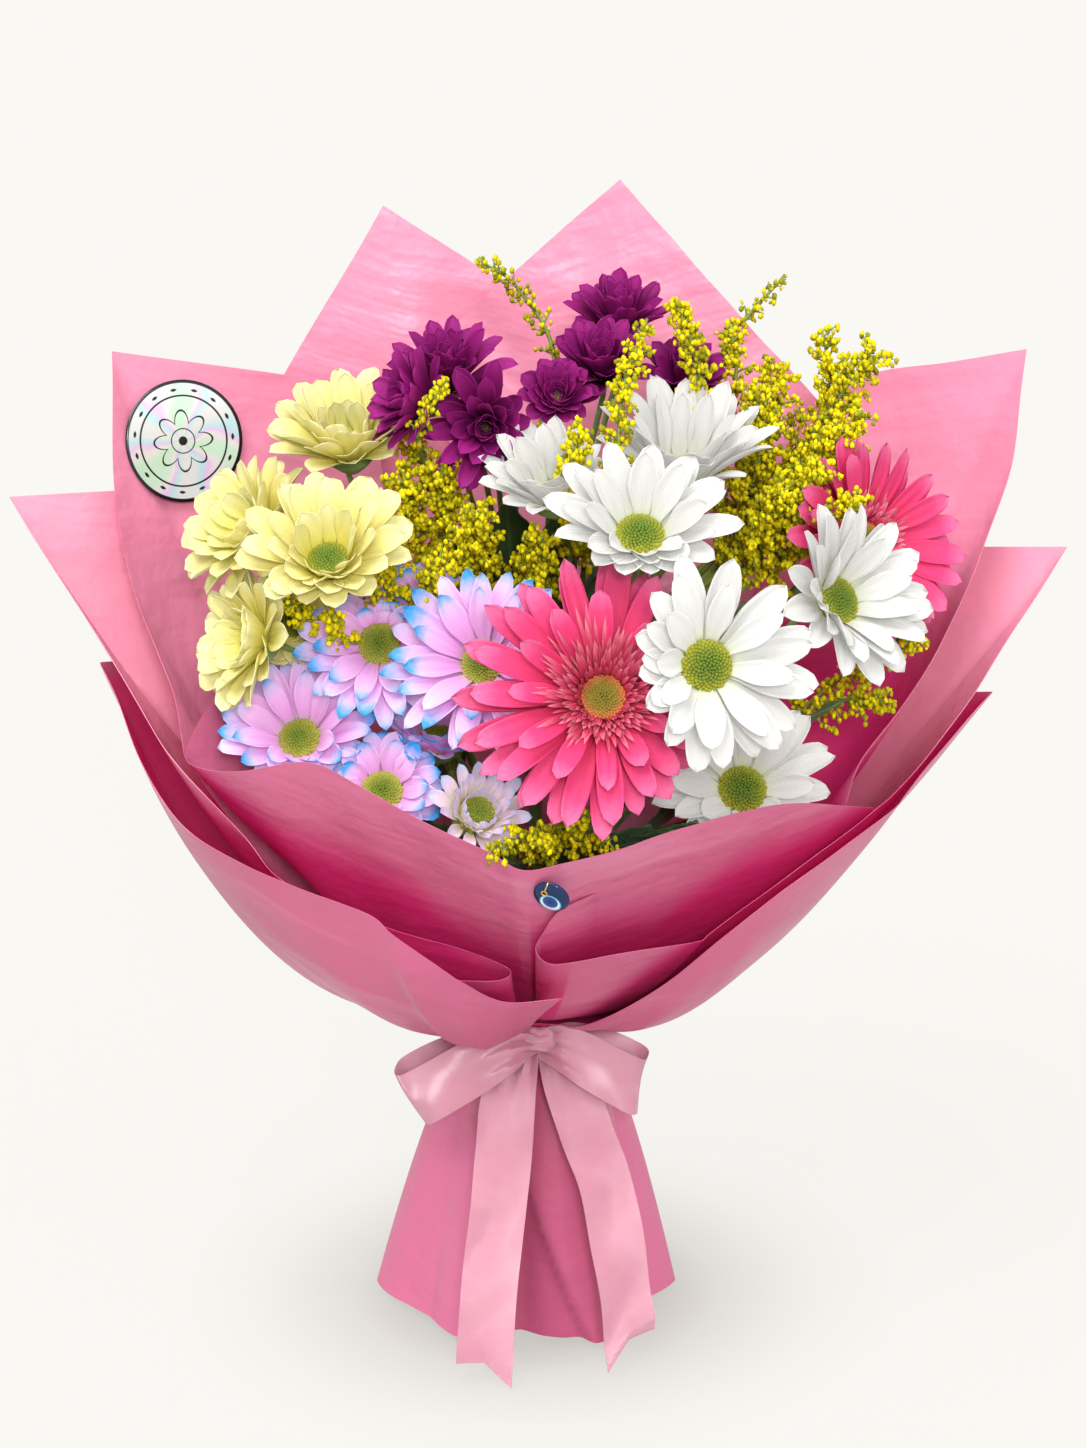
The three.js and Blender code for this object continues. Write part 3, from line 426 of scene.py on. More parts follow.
def paint_pocket_shade(piece, name, shape, places, azimuths, skirt_shade):
    """Writes the attribute that paints shade between the sheets, on either face as it applies,
    and the faces of a lining take the sheet's second film, which is painted darker as shade."""
    heights = places[:, :, 2]
    edge = heights[-1]
    lining = shape.get("lining", 0)
    outside = pocket_shade_depth(name, azimuths, heights, edge) + skirt_shade
    from_edge = np.clip((edge - heights + 0.004) / 0.012, 0, 1)
    inside = (shape.get("pocket", 0) - heights) / shape.get("fade", 0.02)
    inside = from_edge * np.clip(inside, 0, 1)
    inside[:, :lining] = outside[:, :lining]
    count = heights.size
    radii = np.array([math.hypot(*v.co.xy) for v in piece.data.vertices])
    front_first = radii[:count].mean() > radii[count:].mean()
    layers = (outside, inside) if front_first else (inside, outside)
    values = np.concatenate([layer.ravel() for layer in layers])
    piece.data.attributes.new("pocket", "FLOAT", "POINT").data.foreach_set("value", values)
    for face in piece.data.polygons:
        if max(vertex % count % len(edge) for vertex in face.vertices) < lining:
            face.material_index = 1


def film_finish(name, high_dark, high_light):
    """Film with painted shade: darker from the tie up to the belly and deepest in the pockets
    between the sheets, with painted highlight streaks and a painted red glow in the upper part
    of a pocket; above the belly its own colours show."""
    finish = Finish(name, Specular_IOR_Level=0.4, Emission_Strength=0.12)
    place = finish.node("ShaderNodeTexCoord", output=3)
    x = finish.node("ShaderNodeSeparateXYZ", None, {0: place})
    y, height = x.output(1), x.output(2)
    mottle = finish.noise(9.0, 4)
    # long soft creases run along the cut edges, and lighter streaks on them are painted highlights
    level = height - abs(x) * 0.3 + mottle * 0.03
    spread = finish.node("ShaderNodeCombineXYZ", None, {0: x * 4, 1: y * 4, 2: level * 30})
    streaks = finish.noise(1.6, 3, spread)
    painted_glint = ((streaks - 0.52) * 9).clamped()
    single = finish.ramp(mottle, (0.3, high_dark), (0.7, high_light))
    # painted shade: low on the sheets, from the tie up to the belly, the film is darker
    painted_low_shade = finish.ramp(mottle, (0.3, (0.46, 0.085, 0.18)), (0.7, (0.55, 0.11, 0.225)))
    skirt = finish.ramp(mottle, (0.3, (0.53, 0.115, 0.23)), (0.7, (0.59, 0.14, 0.265)))
    up = ((height - 0.2) * 11).clamped()
    down = ((TIE_BOTTOM + 0.004 - height) * 40).clamped()
    pocket = finish.node("ShaderNodeAttribute", {"attribute_name": "pocket"}, output=2)
    upper = finish.mix(painted_glint * 0.3, finish.mix(up, painted_low_shade, single), (0.66, 0.27, 0.4))
    open_film = finish.mix(down, upper, skirt)
    # painted shade: as deep as the attribute says, the film turns crimson between the sheets above the
    # tie and deep pink on the skirt
    shade = finish.mix(down, (0.46, 0.007, 0.105), (0.36, 0.05, 0.125))
    finish.feed("Base Color", finish.mix(pocket * 0.92, open_film, shade))
    # painted glow: the upper part of a pocket glows red, standing in for light that has come
    # through the film
    painted_pocket_glow = pocket * ((height - 0.18) * 14).clamped()
    finish.feed("Emission Color", finish.mix(painted_pocket_glow, (0, 0, 0), (1.0, 0.003, 0.19)))
    creases = finish.node("ShaderNodeTexVoronoi", None, {"Vector": place, "Scale": 15.0})
    crinkle = finish.noise(13.0, 5) + creases * 0.55 + finish.noise(70.0, 3) * 0.08
    crinkle = crinkle + streaks * 0.5
    finish.bump(crinkle, 0.42, 0.01)
    finish.feed("Roughness", finish.noise(14.0) * 0.22 + 0.27 + pocket * 0.3)
    return finish.material


# the outer sheets and the linings are painted darker, as shade, and the middle sheets paler, as
# painted light coming through the film
film_single = film_finish("film_single", (0.7, 0.2, 0.32), (0.78, 0.27, 0.4))
film_lit_through = film_finish("film_lit_through", (0.74, 0.26, 0.37), (0.8, 0.34, 0.46))
film_shaded = film_finish("film_shaded", (0.49, 0.1, 0.2), (0.58, 0.14, 0.25))
FILM_OF = {
    "film_left_middle": film_lit_through, "film_right_middle": film_lit_through, "film_front": film_shaded,
    "film_left_outer": film_shaded, "film_right_outer": film_shaded,
}

for order, (name, shape) in enumerate(SHEETS.items()):
    film = cut_sheet(name, shape, order * 1.7)
    film.data.materials.append(FILM_OF.get(name, film_single))
    if "lining" in shape:
        film.data.materials.append(film_shaded)
    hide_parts(shape["node"])
    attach(film, "root")

# ---- Satin ribbon ------------------------------------------------------------------------
# One 25 mm satin ribbon, woven polyester, goes once round the tie and is knotted in front
# into a bow with two loops and two tails, which are cut with a notch.

RIBBON = 0.025
KNOT = Vector((0.001, -0.0402, 0.1405))
PLEAT, CROWN, RIPPLE = 0.0032, 0.0016, 0.0009


def ribbon_run(name, stations, rows_per_span=7, cut=None):
    """A strip of ribbon through stations of (place, half width, direction across), and the
    length of its middle line."""
    flat = [(*place, half, *Vector(across).normalized()) for place, half, across in stations]
    run = smooth_run(flat, [], rows_per_span)
    across_cuts, wave_count = 12, 4
    deselect_all()
    bpy.ops.mesh.primitive_grid_add(
        x_subdivisions=across_cuts, y_subdivisions=len(run) - 1, size=1
    )
    piece = bpy.context.object
    piece.name = name
    side = run[:, 4:7] / np.linalg.norm(run[:, 4:7], axis=1)[:, None]
    ahead = np.gradient(run[:, :3], axis=0)
    ahead /= np.linalg.norm(ahead, axis=1)[:, None]
    facing = np.cross(side, ahead)
    shares = np.linspace(-1, 1, across_cuts + 1)
    places = np.zeros((len(run), across_cuts + 1, 3))
    for i, share in enumerate(shares):
        # where the ribbon is drawn in to the knot, its spare width stands up in pleats
        gathered = np.clip(1 - run[:, 3] / (RIBBON / 2), 0, 1) ** 0.6
        pleat = PLEAT * gathered * math.cos(share * math.pi * 3)
        crown = CROWN * (1 - share * share)
        wave = RIPPLE * np.sin(np.linspace(0, wave_count, len(run)) * 2 * math.pi + share * 1.7)
        places[:, i] = run[:, :3] + side * (run[:, 3] * share)[:, None]
        places[:, i] += facing * (pleat + crown + wave)[:, None]
    if cut:
        short = np.interp(shares, (-1, 0, 1), cut) * MM
        reach = np.linspace(0, 1, len(run)) ** 6
        for i in range(across_cuts + 1):
            places[:, i] -= ahead * (reach * short[i])[:, None]
    piece.data.vertices.foreach_set("co", places.ravel().astype(np.float32))
    piece.data.update()
    weave = piece.modifiers.new("cloth", "SOLIDIFY")
    weave.thickness = 0.0004
    weave.offset = 0
    bpy.ops.object.modifier_apply(modifier="cloth")
    bpy.ops.object.shade_smooth_by_angle(angle=math.radians(60))
    return piece, float(np.linalg.norm(np.diff(run[:, :3], axis=0), axis=1).sum())


def bow_loop(name, length, lean, droop):
    """The loop leaves the knot, turns round at its outer end and comes back behind itself. Its
    length and droop are in millimetres, to the right and upwards where they are positive."""
    run = [
        (0.02, -1, 0.05, 5.5), (0.2, -6, 0.06, 10), (0.45, -8.5, 0.3, 12.3), (0.78, -7.5, 0.74, 12.5),
        (0.96, -5, 0.98, 12.5), (1, -1.5, 0.9, 12.5), (0.93, 1.5, 0.74, 12.5),
        (0.63, 1.5, 0.42, 12.5), (0.3, 0.5, 0.14, 10), (0.06, 0.5, 0.04, 5),
    ]
    stations = [
        (KNOT + Vector((share * length * MM, y * MM, z * droop * MM)), half * MM,
         (lean * share, 0.3, 1))
        for share, y, z, half in run
    ]
    return ribbon_run(name, stations)


def bow_tail(name, cut, run):
    """The tail hangs off the knot, runs down clear of the skirt and ends in its notch; the cut
    says how much shorter it is at its left edge, its middle and its right edge."""
    stations = [((x * MM, y * MM, z * MM), half * MM, (1, turn, 0)) for x, y, z, half, turn in run]
    return ribbon_run(name, stations, 9, cut)


satin = Finish(
    "satin", Roughness=0.26, Anisotropic=0.6, Sheen_Weight=0.15, Sheen_Roughness=0.4,
    Specular_IOR_Level=1.0,
)
cloth_map = satin.node("ShaderNodeUVMap", {"uv_map": "UVMap"})
thread = satin.node("ShaderNodeTexWave", {"wave_type": "BANDS", "bands_direction": "Y"}, {
    "Vector": cloth_map, "Scale": 160.0, "Distortion": 0.4,
}, output=1)
satin_shade = satin.noise(30.0, 3)
satin.feed("Base Color", satin.ramp(
    satin_shade, (0.3, (0.49, 0.18, 0.255)), (0.72, (0.56, 0.24, 0.32))))
satin.bump(thread * 0.04 + satin.noise(34.0, 2), 0.5, 0.004)

ribbon_pieces = [
    bow_loop("ribbon_left_loop", -57, -0.6, -27),
    bow_loop("ribbon_right_loop", 46, 0.24, -21),
    bow_tail("ribbon_left_tail", (12, 12, 0), [
        (-4, -40.5, 140, 5.5, 0), (-11.5, -48, 121, 11.6, 0), (-14, -57, 96, 12.5, 0.05),
        (-16.5, -68, 72, 12.5, 0.1), (-20, -81, 45, 12.5, 0.1), (-22, -93, 20, 12.5, 0.1),
        (-23, -103, 1.5, 12.5, 0.1),
    ]),
    bow_tail("ribbon_right_tail", (0, 12, 14), [
        (6, -40.5, 140, 5.5, 0), (15, -46, 121, 11.8, 0), (23, -54, 100, 12.5, 0.1),
        (31, -63, 80, 12.5, 0.3), (37, -71, 50, 12.5, 0.4), (41, -79, 22, 12.5, 0.5),
        (42.5, -85, 3.5, 12.5, 0.5),
    ]),
]
for piece, length in ribbon_pieces:
    piece.data.materials.append(satin.material)
    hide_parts("ribbon_bow")
    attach(piece, "root")

# the knot is a short pleated wrap of the same ribbon, given by half its sizes
KNOT_WIDE, KNOT_DEEP, KNOT_HIGH = 0.0085, 0.0056, 0.0072
deselect_all()
bpy.ops.mesh.primitive_uv_sphere_add(segments=40, ring_count=20, radius=1)
knot = bpy.context.object
knot.name = "ribbon_knot"
for vertex in knot.data.vertices:
    x, y, z = vertex.co
    squeeze = 1 - 0.28 * math.exp(-(x / 0.35) ** 2)
    fold = 1 + 0.09 * math.cos(z * 13 + x * 2.2) * math.sqrt(max(0, 1 - x * x))
    vertex.co = (x * KNOT_WIDE, y * KNOT_DEEP * fold, z * KNOT_HIGH * squeeze * fold)
    vertex.co += KNOT
bpy.ops.object.shade_smooth()
knot.data.materials.append(satin.material)
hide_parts("ribbon_bow")
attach(knot, "root")

# the turn of ribbon round the tie lies over the gathered film, drawn in to half its width
BAND_RADIUS = 0.0307
BAND_MIDDLE = 0.132
BAND_WIDTH = 0.013
deselect_all()
bpy.ops.mesh.primitive_cylinder_add(vertices=160, radius=1, depth=1, end_fill_type="NOTHING")
band = bpy.context.object
band.name = "ribbon_band_round"
bpy.ops.object.mode_set(mode="EDIT")
bpy.ops.mesh.select_all(action="SELECT")
bpy.ops.mesh.subdivide(number_cuts=7)
bpy.ops.object.mode_set(mode="OBJECT")
for vertex in band.data.vertices:
    x, y, z = vertex.co
    azimuth = math.atan2(y, x)
    pleat = 0.00025 * math.sin(azimuth * 31) + 0.0003 * math.cos(z * 12 + azimuth * 3)
    radius = BAND_RADIUS + pleat
    height = BAND_MIDDLE + z * BAND_WIDTH
    vertex.co = (radius * math.cos(azimuth), radius * math.sin(azimuth), height)
band_cloth = band.modifiers.new("cloth", "SOLIDIFY")
band_cloth.thickness = 0.0005
band_cloth.offset = 0
bpy.ops.object.modifier_apply(modifier="cloth")
bpy.ops.object.shade_smooth_by_angle(angle=math.radians(60))
band.data.materials.append(satin.material)
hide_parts("ribbon_band")
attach(band, "root")

# four turns of twine bind the bare stems inside the film, where only the dismantled bouquet
# shows them
TWINE_ROUND = 0.0182
TWINE_RADIUS = 0.00125
FIRST_TURN = 0.1303
TURN_STEP = 0.0022
deselect_all()
bpy.ops.mesh.primitive_torus_add(
    major_radius=TWINE_ROUND, minor_radius=TWINE_RADIUS, major_segments=96, minor_segments=12
)
twine = bpy.context.object
twine.name = "twine_turns"
bpy.ops.object.mode_set(mode="EDIT")
bpy.ops.mesh.select_all(action="SELECT")
bpy.ops.transform.translate(value=(0, 0, FIRST_TURN))
for turn in range(3):
    bpy.ops.mesh.duplicate_move(TRANSFORM_OT_translate={"value": (0, 0, TURN_STEP)})
bpy.ops.object.mode_set(mode="OBJECT")
bpy.ops.object.shade_smooth()
twine_fibre = Finish("twine_fibre", Roughness=0.9)
fibre = twine_fibre.noise(900.0, 4)
twine_fibre.feed("Base Color", twine_fibre.ramp(
    fibre, (0.3, (0.42, 0.33, 0.18)), (0.7, (0.7, 0.6, 0.4))))
twine_fibre.bump(fibre, 0.6, 0.0006)
twine.data.materials.append(twine_fibre.material)
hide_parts("binding_twine")
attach(twine, "root")

# ---- Petals and flower heads -------------------------------------------------------------
# Spray chrysanthemums and gerberas: rings of thin, grooved petals round a dense disc. One
# petal of each kind is modelled, and its copies are bent, turned and sized one by one.

GOLDEN_TURN = math.radians(137.508)
# as a share of the petal's width
PETAL_THICKNESS = 0.012


def petal_blank(waist, widest, point, notch, cup, grooves, rows=13, cuts=8):
    """A thin petal of unit length along X and unit width. The waist is its width at the root,
    and it is widest at a share of its length. A higher point makes its end blunter, with a
    notch in it. Its sides stand up by cup, and it has grooves along it."""
    deselect_all()
    bpy.ops.mesh.primitive_grid_add(x_subdivisions=rows, y_subdivisions=cuts, size=1)
    blank = bpy.context.object
    for vertex in blank.data.vertices:
        x, y = vertex.co.x + 0.5, vertex.co.y * 2
        rise = min(1, x / widest)
        width = waist + (1 - waist) * rise * rise * (3 - 2 * rise)
        if x > widest:
            width *= max(0.0, 1 - ((x - widest) / (1 - widest)) ** point) ** 0.5
        x -= notch * math.exp(-((y / 0.3) ** 2)) * max(0, x - 0.8) / 0.2
        fade = math.sin(min(1, x * 1.15) * math.pi) ** 0.5 if 0 < x < 0.87 else 0.35
        lift = cup * y * y * width + grooves * math.cos(y * math.pi * 2.2) * fade * width
        vertex.co = (x, y * width / 2, lift)
    body = blank.modifiers.new("body", "SOLIDIFY")
    body.thickness = PETAL_THICKNESS
    body.offset = 0
    bpy.ops.object.modifier_apply(modifier="body")
    mesh = blank.data
    points = np.array([v.co for v in mesh.vertices])
    faces = [tuple(f.vertices) for f in mesh.polygons]
    bpy.data.objects.remove(blank)
    return points, faces


def lay_petal(blank, length, width, turn, root, height, rise, curl, twist, tip=0.0):
    """A blank made into one petal: it rises at its root, its slope changes by curl and its end
    bends by tip."""
    points, faces = blank
    table = np.linspace(-0.02, 1.02, 53)
    slope = rise + curl * np.clip(table, 0, 1) + tip * np.clip(table - 0.6, 0, 1) ** 2 * 6
    step = np.diff(table)
    out = np.concatenate([[0], np.cumsum(np.cos(slope[1:]) * step)])
    up = np.concatenate([[0], np.cumsum(np.sin(slope[1:]) * step)])
    x = points[:, 0]
    here = np.interp(x, table, slope)
    lean = twist * x
    side = points[:, 1] * width * np.cos(lean) - points[:, 2] * width * np.sin(lean)
    lift = points[:, 1] * width * np.sin(lean) + points[:, 2] * width * np.cos(lean)
    radial = root + np.interp(x, table, out) * length - np.sin(here) * lift
    level = height + np.interp(x, table, up) * length + np.cos(here) * lift
    around = np.array((math.cos(turn), math.sin(turn)))
    places = np.column_stack((
        radial * around[0] - side * around[1], radial * around[1] + side * around[0], level,
    ))
    return places, faces, np.column_stack((x, points[:, 1] + 0.5))


def grow(name, parts, materials):
    """One mesh of many parts, each (places, faces, petal map, tone, which material)."""
    places, loops, starts, sizes, maps, tones, finishes = [], [], [], [], [], [], []
    offset = 0
    for part_places, faces, petal_map, tone, finish in parts:
        places.append(part_places)
        for face in faces:
            starts.append(len(loops))
            sizes.append(len(face))
            loops.extend(index + offset for index in face)
            finishes.append(finish)
        maps.append(petal_map)
        tones.append(np.full(len(part_places), tone))
        offset += len(part_places)
    places, maps, tones = np.vstack(places), np.vstack(maps), np.concatenate(tones)
    mesh = bpy.data.meshes.new(name)
    mesh.vertices.add(len(places))
    mesh.vertices.foreach_set("co", places.ravel().astype(np.float32))
    mesh.loops.add(len(loops))
    mesh.loops.foreach_set("vertex_index", loops)
    mesh.polygons.add(len(starts))
    mesh.polygons.foreach_set("loop_start", starts)
    mesh.polygons.foreach_set("loop_total", sizes)
    mesh.polygons.foreach_set("material_index", finishes)
    mesh.polygons.foreach_set("use_smooth", [True] * len(starts))
    mesh.uv_layers.new(name="petal_map").data.foreach_set("uv", maps[loops].ravel())
    mesh.attributes.new("tone", "FLOAT", "POINT").data.foreach_set("value", tones)
    for material in materials:
        mesh.materials.append(material)
    mesh.update(calc_edges=True)
    piece = bpy.data.objects.new(name, mesh)
    bpy.context.scene.collection.objects.link(piece)
    return piece


def petal_finish(name, along, veins, blush, rough=0.55, uneven=0.0, painted_glow=0.0):
    """Colour runs along the petal, with darker veins, and each petal has its own tone."""
    finish = Finish(name, Roughness=rough, Specular_IOR_Level=0.28, Emission_Strength=painted_glow)
    petal_map = finish.node("ShaderNodeUVMap", {"uv_map": "petal_map"})
    split = finish.node("ShaderNodeSeparateXYZ", None, {0: petal_map})
    across = split.output(1)
    tone = finish.node("ShaderNodeAttribute", {"attribute_name": "tone"}, output=2)
    ragged = finish.noise(420.0, 3) * 0.16 - 0.08
    lengthwise = (split + (ragged * 1.2 + tone * uneven - uneven / 2) * split).clamped()
    base = finish.ramp(lengthwise, *along)
    lines = (across * 88.0).sine() * 0.5 + 0.5
    veined = finish.mix(lines * veins, base, blush, "MULTIPLY")
    toned = finish.mix(tone * 0.5, veined, blush, "MULTIPLY")
    finish.feed("Base Color", toned)
    if painted_glow:
        # painted light: the petals glow a little in their own colour, standing in for the light
        # that comes through them
        finish.feed("Emission Color", toned)
    finish.bump(lines + finish.noise(900.0, 2) * 0.4, 0.25, 0.0004)
    return finish.material


white_petal = petal_finish(
    "white_petal",
    [(0.0, (0.42, 0.47, 0.22)), (0.12, (0.56, 0.575, 0.48)), (0.35, (0.57, 0.568, 0.55)),
     (1.0, (0.615, 0.61, 0.595))],
    0.5, (0.84, 0.83, 0.82), painted_glow=0.24,
)
cream_petal = petal_finish(
    "cream_petal",
    [(0.0, (0.58, 0.52, 0.06)), (0.25, (0.68, 0.63, 0.16)), (0.6, (0.71, 0.67, 0.28)),
     (1.0, (0.72, 0.69, 0.42))],
    0.35, (0.96, 0.9, 0.62), painted_glow=0.08,
)
lilac_petal = petal_finish(
    "lilac_petal",
    [(0.0, (0.5, 0.38, 0.4)), (0.2, (0.7, 0.36, 0.66)), (0.6, (0.8, 0.5, 0.78)),
     (0.8, (0.62, 0.56, 0.8)), (1.0, (0.05, 0.4, 0.76))],
    0.5, (0.9, 0.66, 0.92), uneven=0.36, painted_glow=0.1,
)
pale_petal = petal_finish(
    "pale_lilac_petal",
    [(0.0, (0.36, 0.42, 0.12)), (0.3, (0.68, 0.66, 0.5)), (0.7, (0.78, 0.66, 0.76)),
     (1.0, (0.44, 0.58, 0.78))],
    0.5, (0.88, 0.7, 0.86), painted_glow=0.16,
)
purple_petal = petal_finish(
    "purple_petal",
    [(0.0, (0.12, 0.001, 0.055)), (0.5, (0.26, 0.004, 0.135)), (1.0, (0.38, 0.014, 0.22))],
    0.5, (0.55, 0.3, 0.6), rough=0.65,
)
gerbera_petal = petal_finish(
    "gerbera_petal",
    [(0.0, (0.5, 0.015, 0.06)), (0.3, (0.68, 0.03, 0.12)), (0.75, (0.7, 0.05, 0.19)),
     (1.0, (0.74, 0.17, 0.35))],
    0.34, (0.82, 0.5, 0.62),
)
gerbera_floret = petal_finish(
    "gerbera_floret",
    [(0.0, (0.5, 0.03, 0.06)), (0.6, (0.72, 0.07, 0.17)), (1.0, (0.78, 0.28, 0.36))],
    0.2, (0.8, 0.55, 0.55),
)

gerbera_blank = petal_blank(0.4, 0.62, 2.6, 0.03, 0.07, 0.035)

# each kind: the radius of its disc and the width of its petals in millimetres; over how many
# layers its rings of petals are spread; droop, the degrees by which the petals on its low side
# curl further back; and the rings from the innermost, as (petals, share of the reach, rise and
# curl in degrees)
KINDS = {
    "white": dict(
        disc=10.5, width=12.6, layers=2, droop=-10, slot="white_petal",
        petal=white_petal, blank=petal_blank(0.44, 0.54, 1.75, 0.05, 0.14, 0.045),
        rings=[(8, 0.84, 34, -8), (11, 0.97, 22, -12), (13, 1.0, 10, -14)],
    ),
    "cream": dict(
        disc=9.5, width=12.6, layers=2, droop=-6, slot="cream_petal",
        petal=cream_petal, blank=petal_blank(0.44, 0.62, 2.4, 0.03, 0.16, 0.035),
        rings=[(9, 0.66, 54, 8), (11, 0.88, 38, -2), (12, 1.0, 22, -8), (11, 1.0, 8, -10)],
    ),
    "lilac": dict(
        disc=9, width=10.4, layers=2, droop=-10, slot="lilac_petal",
        petal=lilac_petal, blank=petal_blank(0.42, 0.57, 1.75, 0.06, 0.15, 0.05),
        rings=[(10, 0.82, 36, -8), (12, 0.96, 24, -12), (12, 1.0, 10, -12)],
    ),
    "pale_lilac": dict(
        disc=9, width=6.6, layers=2, droop=-10, slot="lilac_petal",
        petal=pale_petal, blank=petal_blank(0.4, 0.66, 2.0, 0.07, 0.2, 0.04),
        rings=[(16, 0.62, 62, 10), (16, 0.85, 44, 0), (14, 1.0, 22, -10)],
    ),
    "purple": dict(
        disc=3.2, width=8.8, layers=3, droop=-6, slot="purple_petal",
        petal=purple_petal, blank=petal_blank(0.5, 0.64, 2.4, 0.02, 0.2, 0.04),
        rings=[(6, 0.52, 84, 4), (8, 0.76, 76, -4), (10, 0.92, 62, -6), (11, 1.0, 46, -8),
               (10, 1.0, 26, -10)],
    ),
    "gerbera": dict(
        disc=9.5, width=11.0, layers=4, droop=-8, slot="pink_petal",
        petal=gerbera_petal, blank=gerbera_blank,
        rings=[(12, 0.72, 26, -6), (19, 0.96, 16, -8), (20, 1.0, 7, -10)],
    ),
    "gerbera_side": dict(
        disc=9.5, width=10.4, layers=2, droop=-8, slot="pink_petal",
        petal=gerbera_petal, blank=gerbera_blank,
        rings=[(20, 0.97, 20, -8), (20, 1.0, 10, -10)],
    ),
}

# each head: kind, place of its ring in millimetres, degrees by which it turns to the right
# and tilts upwards, reach in millimetres, the side on which a neighbour shortens its petals
# (0 is its right, 90 its top) with the share by which it does, and how many degrees steeper
# than its kind this one's petals stand
HEADS = {
    "gerbera_front": ("gerbera", (27.7, -104, 319), 4, 28, 61, (-5, 0.28), 0),
    "gerbera_right": ("gerbera_side", (140, -28, 364), 42, 24, 47, (0, 0), 8),
    "daisy_white_1": ("white", (62, -18, 391), 12, 68, 50, (0, 0), 42),
    "daisy_white_2": ("white", (43, -84, 382), 4, 52, 44, (-90, 0.42), 22),
    "daisy_white_3": ("white", (69, -124, 339), 12, 16, 47, (198, 0.34), 4),
    "daisy_white_4": ("white", (125, -74, 351.5), 44, 28, 44, (0, 0), 24),
    "daisy_white_5": ("white", (87.5, -64, 265), 8, 36, 45, (-75, 0.5), 12),
    "daisy_white_6": ("white", (10, -37, 387), -26, 64, 42, (0, 0.3), 42),
    "daisy_cream_1": ("cream", (-79.5, -8, 399.5), -18, 70, 41, (-30, 0.2), 26),
    "daisy_cream_2": ("cream", (-119.5, -27, 368), -58, 40, 37, (0, 0), 12),
    "daisy_cream_3": ("cream", (-86, -66, 366), -8, 52, 41, (-90, 0.36), 14),
    "daisy_cream_4": ("cream", (-118, -52, 327.5), -60, 18, 34, (0, 0), 12),
    "daisy_cream_5": ("cream", (-104, -30, 331), -5, 30, 24, (0, 0), 10),
    "daisy_lilac_1": ("lilac", (-100, -56, 285), -12, 40, 39, (-90, 0.5), 12),
    "daisy_lilac_2": ("lilac", (-66, -50, 325.5), -6, 30, 38, (75, 0.45), 8),
    "daisy_lilac_3": ("lilac", (-22, -70, 323), -14, 30, 44, (0, 0), 12),
    "daisy_lilac_4": ("lilac", (-65, -70, 266), 0, 40, 30, (-130, 0.4), 14),
    "daisy_lilac_5": ("pale_lilac", (-25, -86, 261.5), 24, 40, 27, (0, 0), 24),
    "daisy_lilac_6": ("lilac", (-106, -6, 293.5), -14, 50, 35, (0, 0), 20),
    "daisy_lilac_7": ("lilac", (-42, -44, 280), 0, 66, 33, (0, 0), 38),
    "daisy_lilac_8": ("lilac", (-50, -30, 337), 0, 66, 24, (0, 0), 30),
    "chrysanthemum_purple_1": ("purple", (35.5, 33, 443), 4, 74, 23, (0, 0), 16),
    "chrysanthemum_purple_2": ("purple", (-37, 10, 424), -6, 68, 25, (0, 0), 14),
    "chrysanthemum_purple_3": ("purple", (-20.5, -20, 413.5), -4, 8, 26, (-15, 0.36), 8),
    "chrysanthemum_purple_4": ("purple", (27.5, 0, 432), 0, 54, 21, (0, 0), 12),
    "chrysanthemum_purple_5": ("purple", (-47, -20, 422.5), -62, 24, 22, (0, 0), 10),
    "chrysanthemum_purple_6": ("purple", (64.5, 24, 420), 10, 60, 20, (0, 0), 12),
    "chrysanthemum_purple_7": ("purple", (9, -17, 424), 0, 40, 16, (-90, 0.35), 6),
}
LAYER_STEP = 0.0015
STEEPEST = 86


def head_facing(turn, tilt):
    """The way a head looks, turned to the right from the front and tilted upwards."""
    t, e = math.radians(turn), math.radians(tilt)
    return Vector((math.sin(t) * math.cos(e), -math.cos(t) * math.cos(e), math.sin(e)))


def seated(places, centre, turn, tilt):
    """Places round a head's own axis moved to where the head sits."""
    swing = Vector((0, 0, 1)).rotation_difference(head_facing(turn, tilt)).to_matrix()
    return places @ np.array(swing).T + np.array(centre) * MM


def petals_of(name, dice):
    """All petals of a head, ring by ring, each with its own small turns and sizes."""
    kind, centre, turn, tilt, reach, (side, by), cup = HEADS[name]
    shape = KINDS[kind]
    root = shape["disc"] * MM + 0.0002
    parts = []
    rings = shape["rings"]
    for level, (count, share, rise, curl) in enumerate(rings):
        height = -level * LAYER_STEP * (shape["layers"] - 1) / max(1, len(rings) - 1)
        phase = level * 0.5 + dice.random() * 0.2
        for k in range(count):
            around = (k + phase + dice.uniform(-0.13, 0.13)) * 2 * math.pi / count
            crowd = 1 - by * max(0, math.cos(around - math.radians(side)))
            length = (reach * MM * share * crowd - root) * dice.uniform(0.93, 1.06)
            # a petal that rises is longer than its reach; a purple head's stand nearly upright
            length /= math.cos(math.radians(rise * 0.6)) if kind != "purple" else 0.75
            width = shape["width"] * MM * dice.uniform(0.88, 1.1) * (0.7 + 0.3 * share)
            low = max(0, -math.sin(around)) * shape["droop"]
            places, faces, petal_map = lay_petal(
                shape["blank"], length, width, around, root * 0.82,
                height + dice.uniform(-2, 2) * 1e-4,
                math.radians(min(STEEPEST, rise + cup) + dice.uniform(-5, 5)),
                math.radians(curl + low + dice.uniform(-9, 9)),
                math.radians(dice.uniform(-26, 26)), math.radians(dice.uniform(-16, 10)),
            )
            parts.append((seated(places, centre, turn, tilt), faces, petal_map, dice.random(), 0))
    return parts


floret_blank = petal_blank(0.5, 0.5, 1.4, 0.0, 0.3, 0.0, rows=5, cuts=2)
GERBERA_FLORETS = 210


